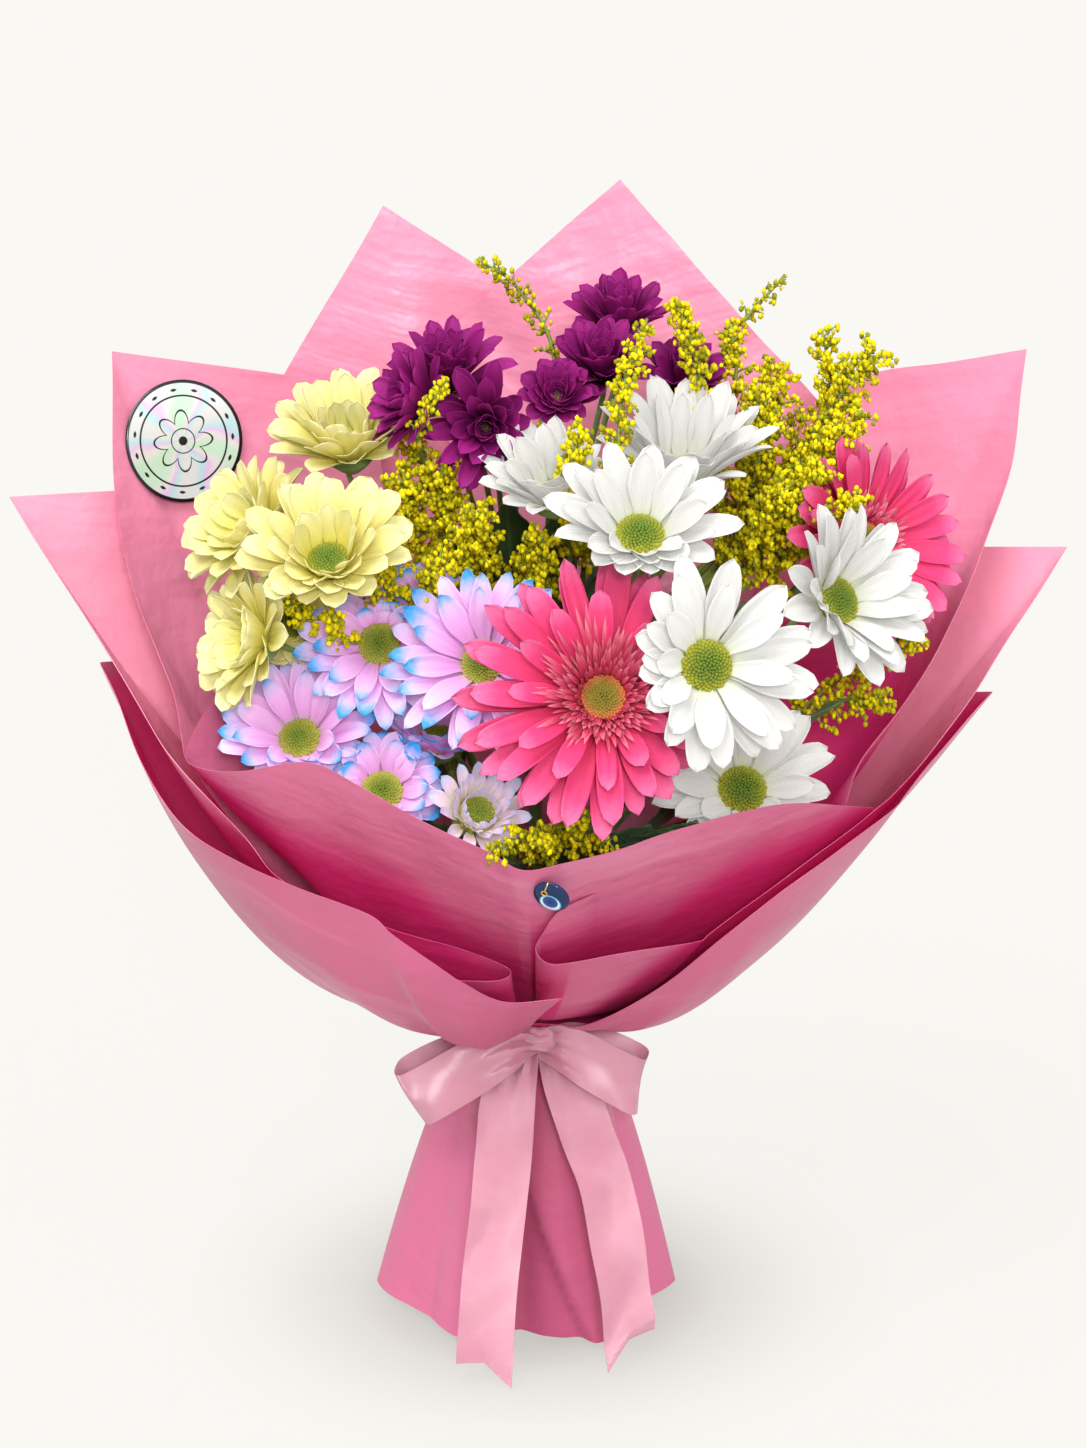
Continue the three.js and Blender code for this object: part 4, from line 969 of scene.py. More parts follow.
def gerbera_florets(name, dice):
    """The narrow inner florets of a gerbera stand up round its disc like a brush."""
    kind, centre, turn, tilt = HEADS[name][:4]
    parts = []
    for k in range(GERBERA_FLORETS):
        ring = k / GERBERA_FLORETS
        root = (10.2 - 1.2 * ring) * MM
        around = k * GOLDEN_TURN
        length = (26 - 18 * ring) * MM * dice.uniform(0.7, 1.1)
        length *= 1 + 0.25 * math.cos(around - math.radians(125))
        length *= 0.5 if kind == "gerbera_side" else 1
        places, faces, petal_map = lay_petal(
            floret_blank, length, dice.uniform(1.7, 2.7) * MM, around, root, 0.0003 * k / 40,
            math.radians(dice.uniform(24, 44) + 34 * ring), math.radians(dice.uniform(-14, 20)),
            math.radians(dice.uniform(-60, 60)),
        )
        parts.append((seated(places, centre, turn, tilt), faces, petal_map, dice.random(), 1))
    return parts


for order, name in enumerate(HEADS):
    dice = random.Random(400 + order)
    kind = HEADS[name][0]
    parts = petals_of(name, dice)
    materials = [KINDS[kind]["petal"]]
    if kind.startswith("gerbera"):
        parts += gerbera_florets(name, dice)
        materials.append(gerbera_floret)
    head = grow("bloom_" + name, parts, materials)
    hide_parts(name)
    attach(head, "root")

# ---- Stems, calyxes, discs and leaves ----------------------------------------------------
# Fourteen stems stand in a spiral, bound at the tie and cut level. Each spray divides above
# it, and every branch ends in a green calyx and in the disc that its petals grow round.

# the rings of stems at the height of the binding: radius, how many, and degrees to the first
BINDING = 0.133
OUTER = (0.0126, 9, 26)
INNER = (0.0063, 4, 60)
MIDDLE = (0.0, 1, 0)
STEM_SPREAD = 0.3
STEM = 0.0026
STEM_SIDES = 10
BRANCH = 0.0014
CALYX_DEPTH = 0.007


def stem_point(seat, height):
    """Where the stem in that seat of its ring is at a height, in metres."""
    (radius, count, first), slot = seat
    angle = math.radians(first + slot * 360 / count)
    away = (height - BINDING) * STEM_SPREAD * radius / OUTER[0]
    return Vector((
        radius * math.cos(angle) - away * math.sin(angle),
        radius * math.sin(angle) + away * math.cos(angle), height,
    ))


def round_stem(path, radii, sides=STEM_SIDES):
    """A closed round stem along a path, with a radius at each of its points."""
    path, radii = np.array(path, float), np.broadcast_to(radii, len(path))
    ahead = np.gradient(path, axis=0)
    ahead /= np.linalg.norm(ahead, axis=1)[:, None]
    side = np.cross(ahead, (0.13, 0.97, 0.21))
    side /= np.linalg.norm(side, axis=1)[:, None]
    over = np.cross(ahead, side)
    angles = np.arange(sides) * 2 * math.pi / sides
    rings = [
        p + r * (np.cos(angles)[:, None] * s + np.sin(angles)[:, None] * o)
        for p, r, s, o in zip(path, radii, side, over)
    ]
    places = np.vstack(rings)
    faces = [
        (i * sides + k, i * sides + (k + 1) % sides,
         (i + 1) * sides + (k + 1) % sides, (i + 1) * sides + k)
        for i in range(len(path) - 1) for k in range(sides)
    ]
    faces.append(tuple(reversed(range(sides))))
    faces.append(tuple((len(path) - 1) * sides + k for k in range(sides)))
    along = np.repeat(np.linspace(0, 1, len(path)), sides)
    return places, faces, np.column_stack((along, np.zeros(len(along))))


def cut_stem(seat, top, radius):
    """A stem from its end, cut level where it stands, up to a height in millimetres."""
    line = [stem_point(seat, height * MM) for height in np.linspace(0, top, 12)]
    places, faces, petal_map = round_stem(line, radius)
    places[:, 2] = np.maximum(places[:, 2], 0)
    places[:STEM_SIDES, 2] = 0
    return places, faces, petal_map, 0.5, 0


def floret_bead():
    """A closed bead of unit radius with few faces, for florets in their hundreds."""
    deselect_all()
    bpy.ops.mesh.primitive_ico_sphere_add(subdivisions=1, radius=1)
    blank = bpy.context.object
    points = np.array([v.co for v in blank.data.vertices])
    faces = [tuple(f.vertices) for f in blank.data.polygons]
    bpy.data.objects.remove(blank)
    return points, faces


FLORET = floret_bead()
DISC_FLORET_SIZE = 0.0011


def disc_florets(radius, dome, count, dice):
    """The tight florets of a disc, set in the spiral that they grow in."""
    points, faces = FLORET
    parts = []
    for k in range(count):
        share = math.sqrt((k + 0.5) / count)
        around = k * GOLDEN_TURN
        out = radius * share
        up = dome * (1 - share**2) + 0.0006
        grow_by = DISC_FLORET_SIZE * (0.75 + 0.35 * share) * dice.uniform(0.85, 1.15)
        places = points * (grow_by, grow_by, grow_by * 1.7)
        places = places + (out * math.cos(around), out * math.sin(around), up)
        parts.append((places, faces, np.tile((share, 0.5), (len(points), 1)), dice.random(), 1))
    return parts


def turned_profile(profile, sides=28):
    """A closed turned shape from (radius, height) points that start and end on the axis."""
    places, faces = [(0, 0, profile[0][1])], []
    angles = [k * 2 * math.pi / sides for k in range(sides)]
    for radius, height in profile[1:-1]:
        places += [(radius * math.cos(a), radius * math.sin(a), height) for a in angles]
    places.append((0, 0, profile[-1][1]))
    for k in range(sides):
        n = (k + 1) % sides
        faces.append((0, 1 + n, 1 + k))
        for ring in range(len(profile) - 3):
            a, b = 1 + ring * sides, 1 + (ring + 1) * sides
            faces.append((a + k, a + n, b + n, b + k))
        last = 1 + (len(profile) - 3) * sides
        faces.append((last + k, last + n, len(places) - 1))
    places = np.array(places, float)
    return places, faces, np.tile((0.5, 0.5), (len(places), 1))


def calyx_and_disc(name, dice):
    """The green cup under a head, closed by its domed disc, and the disc's florets."""
    kind, centre, turn, tilt = HEADS[name][:4]
    shape = KINDS[kind]
    radius = shape["disc"] * MM
    under = -(shape["layers"] - 1) * LAYER_STEP - 0.001
    dome = 0.0015 if kind.startswith("gerbera") else 0.0034 if radius > 0.005 else 0.001
    cup = [(0, under - 0.0085), (0.003, under - 0.008), (radius * 0.7, under - 0.005),
           (radius + 0.0014, under), (radius, under + 0.0004), (radius, 0.0004),
           (radius * 0.8, dome * 0.5), (radius * 0.4, dome * 0.9), (0, dome)]
    parts = [(*turned_profile(cup), 0.5, 0)]
    count = {"gerbera": 190, "purple": 20}.get(kind, 170)
    parts += disc_florets(radius * 0.97, dome, count, dice)
    return [(seated(p[0], centre, turn, tilt), *p[1:]) for p in parts]


def branch(joint, along, back, axis, via, girth):
    """The line of one branch, from inside its stem to the calyx."""
    reach = (back - joint).length
    painted_pocket_glow = [joint - along * 0.004, joint + along * 0.003]
    painted_pocket_glow += [Vector(via) * MM] if via else []
    painted_pocket_glow += [back - axis * min(0.014, reach * 0.2), back]
    run = smooth_run([tuple(p) for p in painted_pocket_glow], [], 8)
    return round_stem(run, np.linspace(girth, girth * 0.85, len(run)))


STALK_SHARE = 0.26
STALK_HALF, BLADE_HALF = 0.0009, 0.0105
LEAF_HALF_THICKNESS = 0.00045


def chrysanthemum_leaf(start, end):
    """A lobed leaf on its stalk, creased along the middle and drooping to its tip."""
    start, end = Vector(start), Vector(end)
    length = (end - start).length
    ahead = (end - start).normalized()
    side = ahead.cross(Vector((0, 0, 1))).normalized()
    up = side.cross(ahead).normalized()
    rows, cuts = 40, 8
    places, maps = [], []
    for i in range(rows + 1):
        x = i / rows
        blade = max(0, (x - STALK_SHARE) / (1 - STALK_SHARE))
        half = STALK_HALF
        if blade > 0:
            half += BLADE_HALF * math.sin(min(1, blade * 1.02) * math.pi) ** 0.7
            half *= 0.62 + 0.38 * abs(math.sin(blade * math.pi * 3.4)) ** 0.6
        half *= 1 if x < 1 else 0.1
        for j in range(cuts + 1):
            s = j / cuts * 2 - 1
            ruffle = 0.0006 * math.sin(x * 60 + s * 4) * abs(s)
            lift = abs(s) * half * 0.35 - x * x * 0.006 + ruffle
            places.append(start + ahead * (x * length) + side * (s * half) + up * lift)
            maps.append((x, s * 0.5 + 0.5))
    faces = [
        (i * (cuts + 1) + j, i * (cuts + 1) + j + 1, (i + 1) * (cuts + 1) + j + 1,
         (i + 1) * (cuts + 1) + j)
        for i in range(rows) for j in range(cuts)
    ]
    count = len(places)
    thin = up * LEAF_HALF_THICKNESS
    places = np.array([p + thin for p in places] + [p - thin for p in places])
    rim = list(range(cuts + 1)) + [(i + 1) * (cuts + 1) - 1 for i in range(1, rows + 1)]
    rim += [rows * (cuts + 1) + j for j in range(cuts - 1, -1, -1)]
    rim += [i * (cuts + 1) for i in range(rows - 1, 0, -1)]
    walls = [(a, a + count, b + count, b) for a, b in zip(rim, rim[1:] + rim[:1])]
    faces = faces + [tuple(k + count for k in reversed(f)) for f in faces] + walls
    return places, faces, np.array(maps + maps)


green_stem = Finish("green_stem", Roughness=0.5, Sheen_Weight=0.1)
stem_grain = green_stem.noise(120.0, 3)
green_stem.feed("Base Color", green_stem.ramp(
    stem_grain, (0.25, (0.1, 0.19, 0.04)), (0.75, (0.22, 0.34, 0.09))))
green_stem.bump(stem_grain, 0.3, 0.0006)

leaf_green = Finish("leaf_green", Roughness=0.48, Sheen_Weight=0.1)
leaf_map = leaf_green.node("ShaderNodeUVMap", {"uv_map": "petal_map"})
leaf_split = leaf_green.node("ShaderNodeSeparateXYZ", None, {0: leaf_map})
from_midrib = abs(leaf_split.output(1) - 0.5)
midrib = 1 - from_midrib * 14
side_veins = (leaf_split * 90 + from_midrib * -30).sine()
veins = midrib.clamped() + side_veins * 0.12
leaf_green.feed("Base Color", leaf_green.mix(
    veins.clamped() * 0.6, (0.035, 0.1, 0.02), (0.12, 0.24, 0.06)))
leaf_green.bump(veins, 0.4, 0.0005)


def disc_finish(name, heart, middle, edge):
    """The florets of a disc change colour from its heart to its edge, and from one another."""
    finish = Finish(name, Roughness=0.7)
    disc_map = finish.node("ShaderNodeUVMap", {"uv_map": "petal_map"})
    share = finish.node("ShaderNodeSeparateXYZ", None, {0: disc_map})
    tone = finish.node("ShaderNodeAttribute", {"attribute_name": "tone"}, output=2)
    spot = finish.noise(700.0, 2) * 0.1 + tone * 0.14
    finish.feed("Base Color", finish.ramp(
        (share + spot - 0.12).clamped(), (0.2, heart), (0.62, middle), (0.95, edge)))
    return finish.material


DISCS = {
    "white": disc_finish("daisy_disc", (0.1, 0.17, 0.006), (0.15, 0.2, 0.008), (0.3, 0.29, 0.012)),
    "lilac": disc_finish("lilac_disc", (0.13, 0.19, 0.008), (0.22, 0.25, 0.015), (0.36, 0.34, 0.05)),
    "gerbera": disc_finish("gerbera_disc", (0.17, 0.14, 0.006), (0.22, 0.16, 0.01), (0.5, 0.13, 0.04)),
    "purple": disc_finish("purple_disc", (0.16, 0.14, 0.02), (0.14, 0.03, 0.06), (0.12, 0.01, 0.08)),
}
DISCS["cream"] = DISCS["white"]
DISCS["pale_lilac"] = DISCS["lilac"]
DISCS["gerbera_side"] = DISCS["gerbera"]

# each spray, in millimetres: seat of its stem, height where it divides, and its heads with the
# point that a branch bends through, where it has one; then its leaves, from a height on the
# stem to a tip
SPRAYS = {
    "stem_gerbera_front": ((OUTER, 5), 205, {"gerbera_front": None}, []),
    "stem_gerbera_right": ((OUTER, 8), 205, {"gerbera_right": None}, []),
    "spray_white_front": ((OUTER, 6), 215, {
        "daisy_white_3": (72, -88, 308), "daisy_white_4": None, "daisy_white_5": None,
    }, [(195, (46, -92, 258)), (205, (128, -50, 306)), (190, (66, -84, 250)),
        (200, (92, -56, 286)), (198, (18, -84, 252)), (196, (36, -90, 244)),
        (199, (66, -96, 268)), (204, (84, -44, 346)), (197, (46, -84, 262)),
        (203, (30, -86, 260)), (201, (56, -90, 262))]),
    "spray_white_top": ((INNER, 2), 235, {
        "daisy_white_1": None, "daisy_white_2": None, "daisy_white_6": None,
    }, [(225, (16, -64, 350)), (230, (30, -30, 366)), (228, (-6, -40, 352)), (222, (56, -52, 348))]),
    "spray_cream": ((OUTER, 1), 225, {
        "daisy_cream_1": None, "daisy_cream_2": (-84, 8, 320), "daisy_cream_3": (-78, -18, 336),
        "daisy_cream_4": (-90, -31, 325), "daisy_cream_5": (-80, 6, 320),
    }, [(215, (-92, -24, 318)), (220, (-70, -16, 340)), (210, (-112, -30, 300))]),
    "spray_lilac_low": ((OUTER, 3), 195, {
        "daisy_lilac_1": None, "daisy_lilac_4": None, "daisy_lilac_5": None,
        "daisy_lilac_7": None,
    }, [(185, (-10, -86, 246)), (190, (-50, -72, 262)), (185, (-84, -62, 262)), (180, (8, -88, 238))]),
    "spray_lilac_high": ((INNER, 1), 225, {
        "daisy_lilac_2": None, "daisy_lilac_3": None, "daisy_lilac_6": None,
        "daisy_lilac_8": None,
    }, []),
    "spray_purple_left": ((OUTER, 0), 290, {
        "chrysanthemum_purple_2": None, "chrysanthemum_purple_3": None,
        "chrysanthemum_purple_5": None,
    }, [(280, (-30, -20, 372)), (285, (-12, -14, 384))]),
    "spray_purple_right": ((MIDDLE, 0), 300, {
        "chrysanthemum_purple_1": None, "chrysanthemum_purple_4": None,
        "chrysanthemum_purple_6": None, "chrysanthemum_purple_7": None,
    }, [(285, (24, -12, 388)), (290, (52, 6, 392)), (280, (8, -22, 380))]),
}

for order, (name, (seat, fork, heads, leaves)) in enumerate(SPRAYS.items()):
    dice = random.Random(70 + order)
    joint = stem_point(seat, fork * MM)
    along = (joint - stem_point(seat, (fork - 10) * MM)).normalized()
    parts = [cut_stem(seat, fork + 3, STEM)]
    for head, via in heads.items():
        kind, centre, turn, tilt = HEADS[head][:4]
        axis = head_facing(turn, tilt)
        back = Vector(centre) * MM - axis * (CALYX_DEPTH + KINDS[kind]["layers"] * LAYER_STEP)
        girth = STEM * 0.9 if len(heads) == 1 else BRANCH
        parts.append((*branch(joint, along, back, axis, via, girth), dice.random(), 0))
        parts += calyx_and_disc(head, dice)
    for height, tip in leaves:
        leaf = chrysanthemum_leaf(stem_point(seat, height * MM), Vector(tip) * MM)
        parts.append((*leaf, 0.5, 2))
    # all the heads of one spray have discs of one finish
    spray = grow("green_" + name, parts, [green_stem.material, DISCS[kind], leaf_green.material])
    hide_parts(name)
    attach(spray, "root")

# ---- Goldenrod ---------------------------------------------------------------------------
# Filler of thin green twigs whose side twigs are crowded with tiny yellow florets, longest
# low on each plume and shorter to its arching tip.

goldenrod_green = Finish("goldenrod_green", Roughness=0.6)
twig_grain = goldenrod_green.noise(200.0, 2)
goldenrod_green.feed("Base Color", goldenrod_green.ramp(
    twig_grain, (0.3, (0.14, 0.2, 0.03)), (0.7, (0.3, 0.36, 0.06))))

goldenrod_yellow = Finish("goldenrod_yellow", Roughness=0.75, Specular_IOR_Level=0.15)
floret_tone = goldenrod_yellow.node("ShaderNodeAttribute", {"attribute_name": "tone"}, output=2)
goldenrod_yellow.feed("Base Color", goldenrod_yellow.ramp(
    (floret_tone + goldenrod_yellow.noise(60.0, 2) * 0.5 - 0.25).clamped(),
    (0.0, (0.2, 0.22, 0.006)), (0.35, (0.54, 0.46, 0.004)), (1.0, (0.86, 0.72, 0.004))))

# each bunch, in millimetres: seat of its stem, height where it divides, and its plumes; each
# plume: its points above the fork, how far its side twigs reach, their number, and how thickly
# they are set with florets
GOLDENROD = {
    "goldenrod_left": ((OUTER, 2), 250, [
        ([(-40, 2, 320), (-53, -20, 368), (-55, -34, 396)], 24, 40, 1.0),
        ([(-30, -2, 330), (-38, -24, 376), (-39, -30, 400)], 24, 40, 1.0),
        ([(-26, -8, 320), (-26, -38, 362), (-24, -50, 384)], 24, 43, 1.0),
        ([(-14, -10, 320), (-2, -36, 352), (3, -54, 374)], 22, 40, 1.0),
        ([(-46, -6, 310), (-62, -38, 344), (-66, -56, 366)], 20, 32, 0.9),
        ([(-30, -14, 310), (-44, -46, 344), (-40, -58, 366)], 20, 32, 0.9),
        ([(-36, 6, 360), (-54, 0, 400), (-50, -6, 420)], 13, 24, 0.7),
        ([(-42, -4, 370), (-50, -28, 408), (-45, -40, 428), (-37, -42, 437)], 9, 24, 0.6),
        ([(-60, -10, 305), (-92, -50, 334), (-104, -66, 350)], 13, 26, 0.9),
        ([(-52, -14, 305), (-82, -62, 332), (-84, -76, 348)], 10, 20, 0.9),
    ]),
    "goldenrod_centre": ((INNER, 0), 290, [
        ([(-8, 22, 370), (8, 20, 430), (-7, 26, 462), (-25, 20, 477)], 11, 29, 0.35),
    ]),
    "goldenrod_right": ((INNER, 3), 290, [
        ([(26, -14, 340), (34, -42, 385), (36, -38, 430), (47, -14, 458)], 15, 45, 0.9),
        ([(60, 28, 360), (80, 34, 430), (108, 36, 467)], 12, 29, 0.35),
        ([(80, 15, 350), (98, 10, 400), (105, 14, 432)], 26, 43, 0.9),
        ([(85, 20, 350), (125, 12, 410), (146, 20, 438)], 26, 40, 0.9),
        ([(90, 10, 350), (120, 0, 385), (140, 2, 415)], 24, 40, 0.9),
        ([(80, 5, 340), (102, -18, 372), (112, -26, 396)], 22, 35, 0.9),
        ([(70, 20, 360), (86, 20, 420), (84, 22, 448)], 14, 29, 0.7),
        ([(85, 10, 350), (96, -8, 398), (93, -6, 428)], 22, 36, 0.9),
        ([(100, 20, 360), (128, 24, 410), (124, 28, 444)], 20, 34, 0.9),
        ([(95, 0, 350), (112, -14, 390), (130, -18, 412)], 20, 34, 0.9),
        ([(88, -8, 345), (108, -34, 382), (120, -42, 402)], 22, 38, 0.95),
        ([(94, -12, 342), (120, -44, 376), (135, -54, 390)], 17, 34, 0.95),
        ([(80, -6, 345), (98, -34, 376), (104, -44, 392)], 20, 34, 0.95),
        ([(20, -12, 340), (21, -40, 376), (15, -50, 400), (19, -46, 420)], 16, 38, 0.9),
        ([(60, 14, 370), (70, 2, 420), (66, -4, 446), (60, 0, 462)], 15, 36, 0.8),
    ]),
    "goldenrod_low_right": ((OUTER, 7), 200, [
        ([(110, -20, 280), (135, -38, 298), (150, -48, 300)], 16, 21, 0.8),
        ([(110, -15, 280), (146, -32, 318), (164, -42, 324)], 16, 21, 0.8),
    ]),
    "goldenrod_front": ((OUTER, 4), 185, [
        ([(2, -72, 236), (-4, -100, 256), (-20, -116, 255)], 14, 20, 0.8),
        ([(4, -72, 236), (3, -100, 258), (2, -112, 258)], 11, 16, 0.8),
        ([(5, -70, 240), (12, -95, 262), (24, -104, 268)], 13, 18, 0.8),
        ([(8, -68, 240), (20, -94, 252), (31, -103, 256)], 12, 18, 0.8),
    ]),
}
PLUME_RADII = (0.0014, 0.0006)
TWIG_RADII = np.array((0.0006, 0.0005, 0.0004, 0.0003))
FLORET_SPACING = 0.0008
FLORET_SPREAD = 0.0024


def plume(start, points, spread, count, density, dice):
    """The plume's axis, its side twigs in a spiral, and florets all along each of them."""
    painted_pocket_glow = [tuple(start)] + [tuple(Vector(p) * MM) for p in points]
    run = smooth_run(painted_pocket_glow, [], 10)
    parts = [(*round_stem(run, np.linspace(*PLUME_RADII, len(run)), 6), 0.5, 0)]
    for i in range(count):
        t = 0.34 + 0.64 * (i + 0.5) / count
        at = t * (len(run) - 1)
        below, above = Vector(run[int(at)]), Vector(run[min(int(at) + 1, len(run) - 1)])
        seat = below.lerp(above, at % 1)
        along = (above - below).normalized()
        across = along.cross(Vector((0.3, 1, 0.2))).normalized()
        across = Matrix.Rotation(i * GOLDEN_TURN + dice.uniform(-0.4, 0.4), 3, along) @ across
        reach = spread * MM * (1.15 - 0.8 * t) * dice.uniform(0.75, 1.2)
        lean = (across + along * 0.75).normalized()
        droop = Vector((0, 0, -1)) * reach * 0.16
        twig = [tuple(seat + lean * reach * s + droop * s * s) for s in (0, 0.33, 0.66, 1.0)]
        parts.append((*round_stem(twig, TWIG_RADII, 4), 0.4, 0))
        florets = int(reach / FLORET_SPACING * density) + 2
        for k in range(florets):
            s = 0.12 + 0.9 * (k + dice.random()) / florets
            place = seat + lean * reach * s + droop * s * s
            off = Vector((dice.gauss(0, 1), dice.gauss(0, 1), dice.gauss(0, 1))).normalized()
            place = place + off * FLORET_SPREAD * (1.25 - s * 0.6)
            size = dice.uniform(0.0008, 0.0013)
            bead, faces = FLORET
            ragged = np.array([dice.uniform(0.65, 1.35) for _ in bead])[:, None]
            floret = bead * ragged * (size, size, size * 1.3) + np.array(place)
            # each floret's tone differs at random, and florets on thinly set plumes are darker
            yellow_tone = dice.random() * min(1, 0.3 + density)
            parts.append((floret, faces, np.zeros((len(bead), 2)), yellow_tone, 1))
    return parts


for order, (name, (seat, fork, plumes)) in enumerate(GOLDENROD.items()):
    dice = random.Random(900 + order)
    joint = stem_point(seat, fork * MM)
    parts = [cut_stem(seat, fork + 2, STEM * 0.8)]
    for points, spread, count, density in plumes:
        parts += plume(joint, points, spread, count, density, dice)
    rod = grow("sprig_" + name, parts, [goldenrod_green.material, goldenrod_yellow.material])
    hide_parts(name)
    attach(rod, "root")

# ---- Sticker and charm -------------------------------------------------------------------
# A round silver sticker of stiff film is stuck to the left sheet. A glass bead with an eye in
# it is fixed to the front collar by a gold pin with a ring and a link.

STICKER_RADIUS = 0.027
STICKER_THICKNESS = 0.0003
STICKER_GAP = 0.0003
IN_FRONT_OF_STICKER = Vector((-0.157, -0.2, 0.39))
deselect_all()
bpy.context.view_layer.update()
under = bpy.data.objects["film_left"]
_, middle, up, _ = under.ray_cast(IN_FRONT_OF_STICKER, Vector((0, 1, 0)))
right = Vector((0, 0, 1)).cross(up).normalized()
ahead = up.cross(right)
sides, rings = 96, 16
spots, maps = [middle], [(0.5, 0.5)]
for ring in range(1, rings + 1):
    for k in range(sides):
        x, y = (ring / rings * f(k * 2 * math.pi / sides) for f in (math.cos, math.sin))
        start = middle + (right * x + ahead * y) * STICKER_RADIUS + up * 0.03
        spots.append(under.ray_cast(start, -up)[1])
        maps.append((x / 2 + 0.5, y / 2 + 0.5))
# stiffer than the film, it bends smoothly over the film's small folds
count = len(spots)
flat = (np.array(maps) - 0.5) * 2
terms = np.column_stack((
    np.ones(count), flat, flat[:, 0] ** 2, flat[:, 0] * flat[:, 1], flat[:, 1] ** 2,
))
rise = np.array([(p - middle).dot(up) for p in spots])
bent = terms @ np.linalg.lstsq(terms, rise, rcond=None)[0]
bent += max(0, (rise - bent).max()) + STICKER_GAP
spots = [
    middle + (right * x + ahead * y) * STICKER_RADIUS + up * h for (x, y), h in zip(flat, bent)
]
places = [p + up * STICKER_THICKNESS for p in spots] + spots
faces = []
for k in range(sides):
    n = (k + 1) % sides
    faces.append((0, 1 + k, 1 + n))
    for ring in range(rings - 1):
        a, b = 1 + ring * sides, 1 + (ring + 1) * sides
        faces.append((a + k, b + k, b + n, a + n))
backs = [tuple(count + i for i in reversed(face)) for face in faces]
edge = 1 + (rings - 1) * sides
walls = [
    (edge + k, count + edge + k, count + edge + (k + 1) % sides, edge + (k + 1) % sides)
    for k in range(sides)
]

sticker_film = Finish("sticker_film", Roughness=0.3, Metallic=0.45, Coat_Weight=0.4)
sticker_map = sticker_film.node("ShaderNodeUVMap", {"uv_map": "petal_map"})
sticker_x = sticker_film.node("ShaderNodeSeparateXYZ", None, {0: sticker_map})
x, y = sticker_x * 2 - 1, sticker_x.output(1) * 2 - 1
reach = (x * x + y * y) ** 0.5
angle = x.math("ARCTAN2", y, x)
# a black outer ring, a thin inner one with dots round it, and a plain rosette in the middle
outer_ring = (reach - 0.94) * 100
inner_ring = (0.018 - abs(reach - 0.74)) * 200
dots = ((angle * 15).cosine() * 0.05 - abs(reach - 0.84) - 0.02) * 120
rosette = (0.02 - abs(reach - 0.3 - abs((angle * 4).cosine()) * 0.2)) * 200
rosette_ring = (0.012 - abs(reach - 0.2)) * 200
rosette_spot = (0.08 - reach) * 100
ink = inner_ring.clamped() + rosette.clamped() + rosette_ring.clamped() + dots.clamped()
ink = ink + rosette_spot.clamped() + outer_ring.clamped()
# painted sheen: soft rainbow colours of the silver film fan out from the middle
painted_rainbow = (angle * 3 + sticker_film.noise(30.0, 2) * 6).sine()
silver_and_sheen = sticker_film.ramp(
    painted_rainbow * 0.5 + 0.5, (0.1, (0.72, 0.74, 0.76)), (0.35, (0.48, 0.76, 0.82)),
    (0.55, (0.78, 0.56, 0.86)), (0.75, (0.78, 0.76, 0.76)), (0.95, (0.58, 0.8, 0.64)),
)
sticker_film.feed("Base Color", sticker_film.mix(ink.clamped(), silver_and_sheen, (0.01, 0.01, 0.012)))

places, maps = np.array(places), np.array(maps + maps)
sticker = grow(
    "sticker_round", [(places, faces + backs + walls, maps, 0.5, 0)], [sticker_film.material]
)
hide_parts("sticker")
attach(sticker, "root")

BEAD_CENTRE = Vector((0.0066, -0.1164, 0.2365))
BEAD_FACING = Vector((-0.329, -0.85, -0.408))
BEAD_RADIUS = 0.0079
BEAD_HALF_DEPTH = 0.0019
bead_turn = Vector((0, 0, 1)).rotation_difference(BEAD_FACING).to_matrix()


def set_on_collar(places):
    """Places round the bead's own axis moved to where it hangs on the collar."""
    return places @ np.array(bead_turn).T + np.array(BEAD_CENTRE)


profile = [(0, -0.0015)]
profile += [
    (BEAD_RADIUS * math.cos(t) ** 0.7, BEAD_HALF_DEPTH * math.sin(t) - 0.0001)
    for t in np.linspace(-1.2, 1.45, 12)
]
profile += [(0, BEAD_HALF_DEPTH)]
places, faces, _ = turned_profile(profile, 64)
maps = places[:, :2] / BEAD_RADIUS / 2 + 0.5
eye_glass = Finish("eye_glass", Roughness=0.1, Specular_IOR_Level=0.25)
eye_map = eye_glass.node("ShaderNodeUVMap", {"uv_map": "petal_map"})
eye_x = eye_glass.node("ShaderNodeSeparateXYZ", None, {0: eye_map})
eye_y = eye_x.output(1)
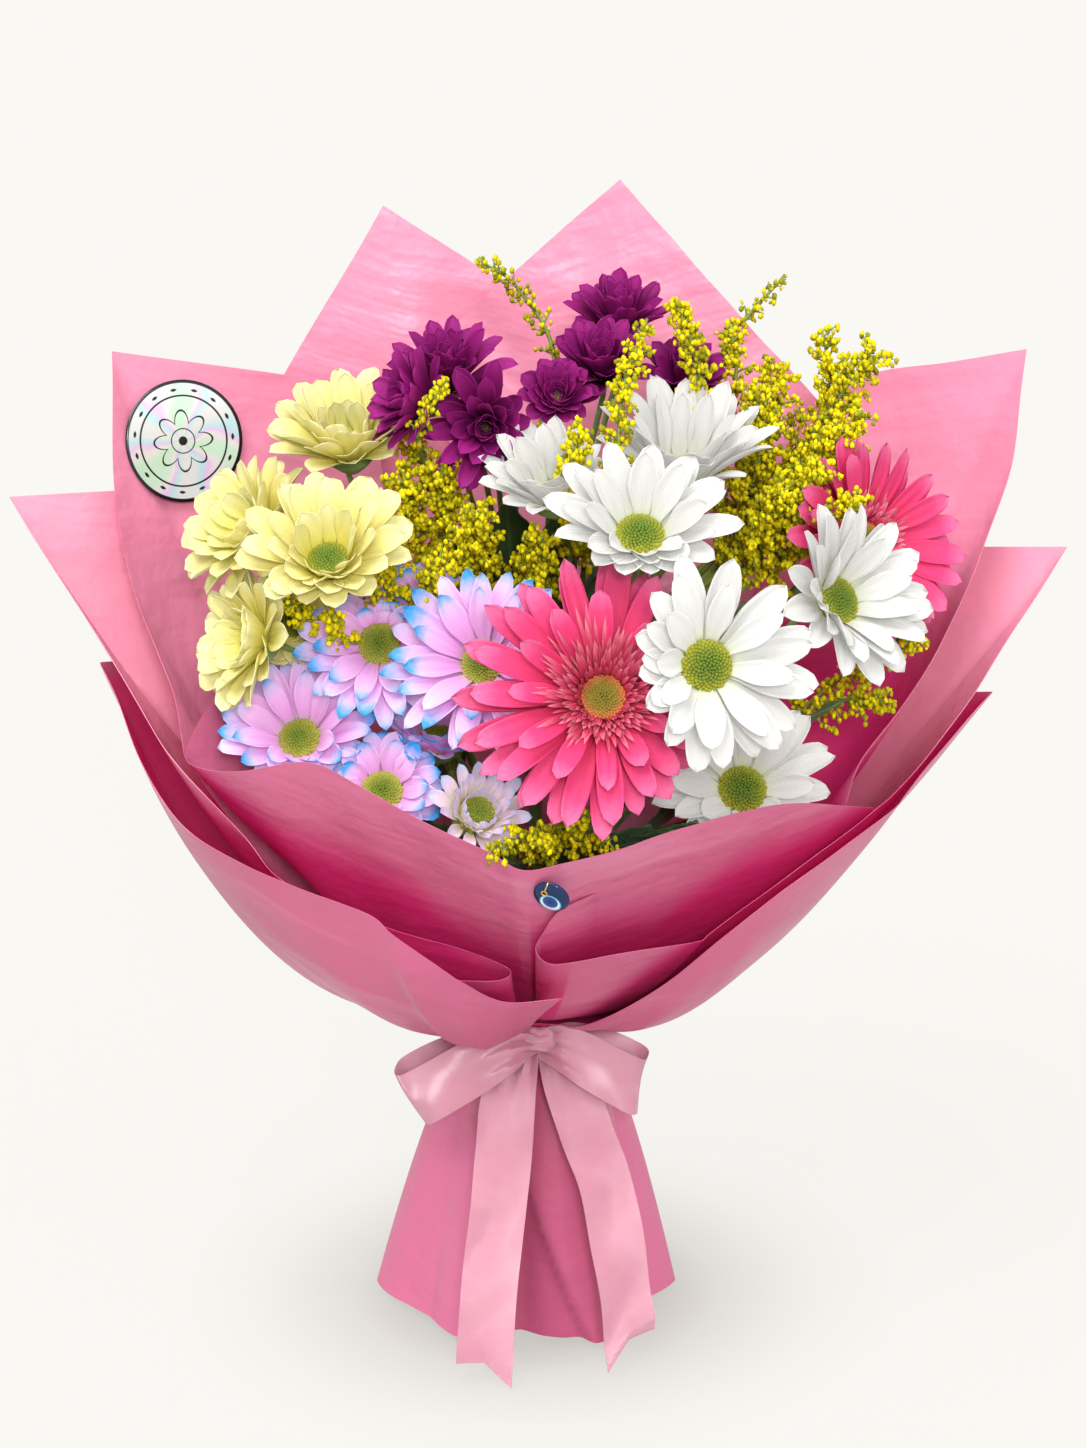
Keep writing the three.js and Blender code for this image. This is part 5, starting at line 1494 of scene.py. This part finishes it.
# the white of the eye and the iris in it both lie off the bead's middle, which is at (1, 1)
x, y = eye_x * 2 - 0.83, eye_y * 2 - 0.71
from_eye = (x * x + y * y) ** 0.5
x, y = eye_x * 2 - 0.89, eye_y * 2 - 0.8
from_iris = (x * x + y * y) ** 0.5
eye_white = eye_glass.ramp(
    from_eye, (0.0, (0.5, 0.66, 0.74)), (0.5, (0.62, 0.74, 0.8)), (0.58, (0.05, 0.36, 0.5)),
    (0.62, (0.009, 0.02, 0.075)), (1.0, (0.012, 0.026, 0.085)),
)
iris = eye_glass.ramp(from_iris, (0.0, (0.006, 0.016, 0.07)), (0.3, (0.014, 0.06, 0.26)))
eye_glass.feed("Base Color", eye_glass.mix(((0.44 - from_iris) * 30).clamped(), eye_white, iris))
eye_glass.bump(eye_glass.noise(200.0, 1), 0.05, 0.001)
bead = grow("eye_bead", [(set_on_collar(places), faces, maps, 0.5, 0)], [eye_glass.material])
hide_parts("charm_bead")
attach(bead, "root")

# the pin's shank goes through the bead into the film, and its ring and link lie in front
PIN_WIRE = 0.00035
RING_RADIUS = 0.0012
shank = [(0, -0.0016), (0.0005, -0.0015), (0.0005, 0.002), (0, 0.0021)]
places, faces, maps = turned_profile(shank, 16)
pin_parts = [(set_on_collar(places + (0, 0.0034, -0.0002)), faces, maps, 0.5, 0)]
ring = [
    (RING_RADIUS * math.cos(a) - 0.0006, 0.0038 + RING_RADIUS * math.sin(a), 0.0021)
    for a in np.linspace(0, 2 * math.pi, 25)
]
link = [(0.0, 0.0048, 0.0022), (0.0012, 0.0058, 0.0019), (0.0022, 0.0069, 0.0008),
        (0.0027, 0.0076, -0.0008)]
for path in (ring, link):
    places, faces, maps = round_stem(path, PIN_WIRE, 8)
    pin_parts.append((set_on_collar(places), faces, maps, 0.5, 0))
pin_gold = Finish("pin_gold", Roughness=0.25, Metallic=1.0)
pin_gold.feed("Base Color", pin_gold.ramp(
    pin_gold.noise(400.0, 2), (0.3, (0.72, 0.5, 0.16)), (0.7, (0.86, 0.64, 0.26))))
pin = grow("charm_pin_gold", pin_parts, [pin_gold.material])
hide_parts("charm_pin")
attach(pin, "root")
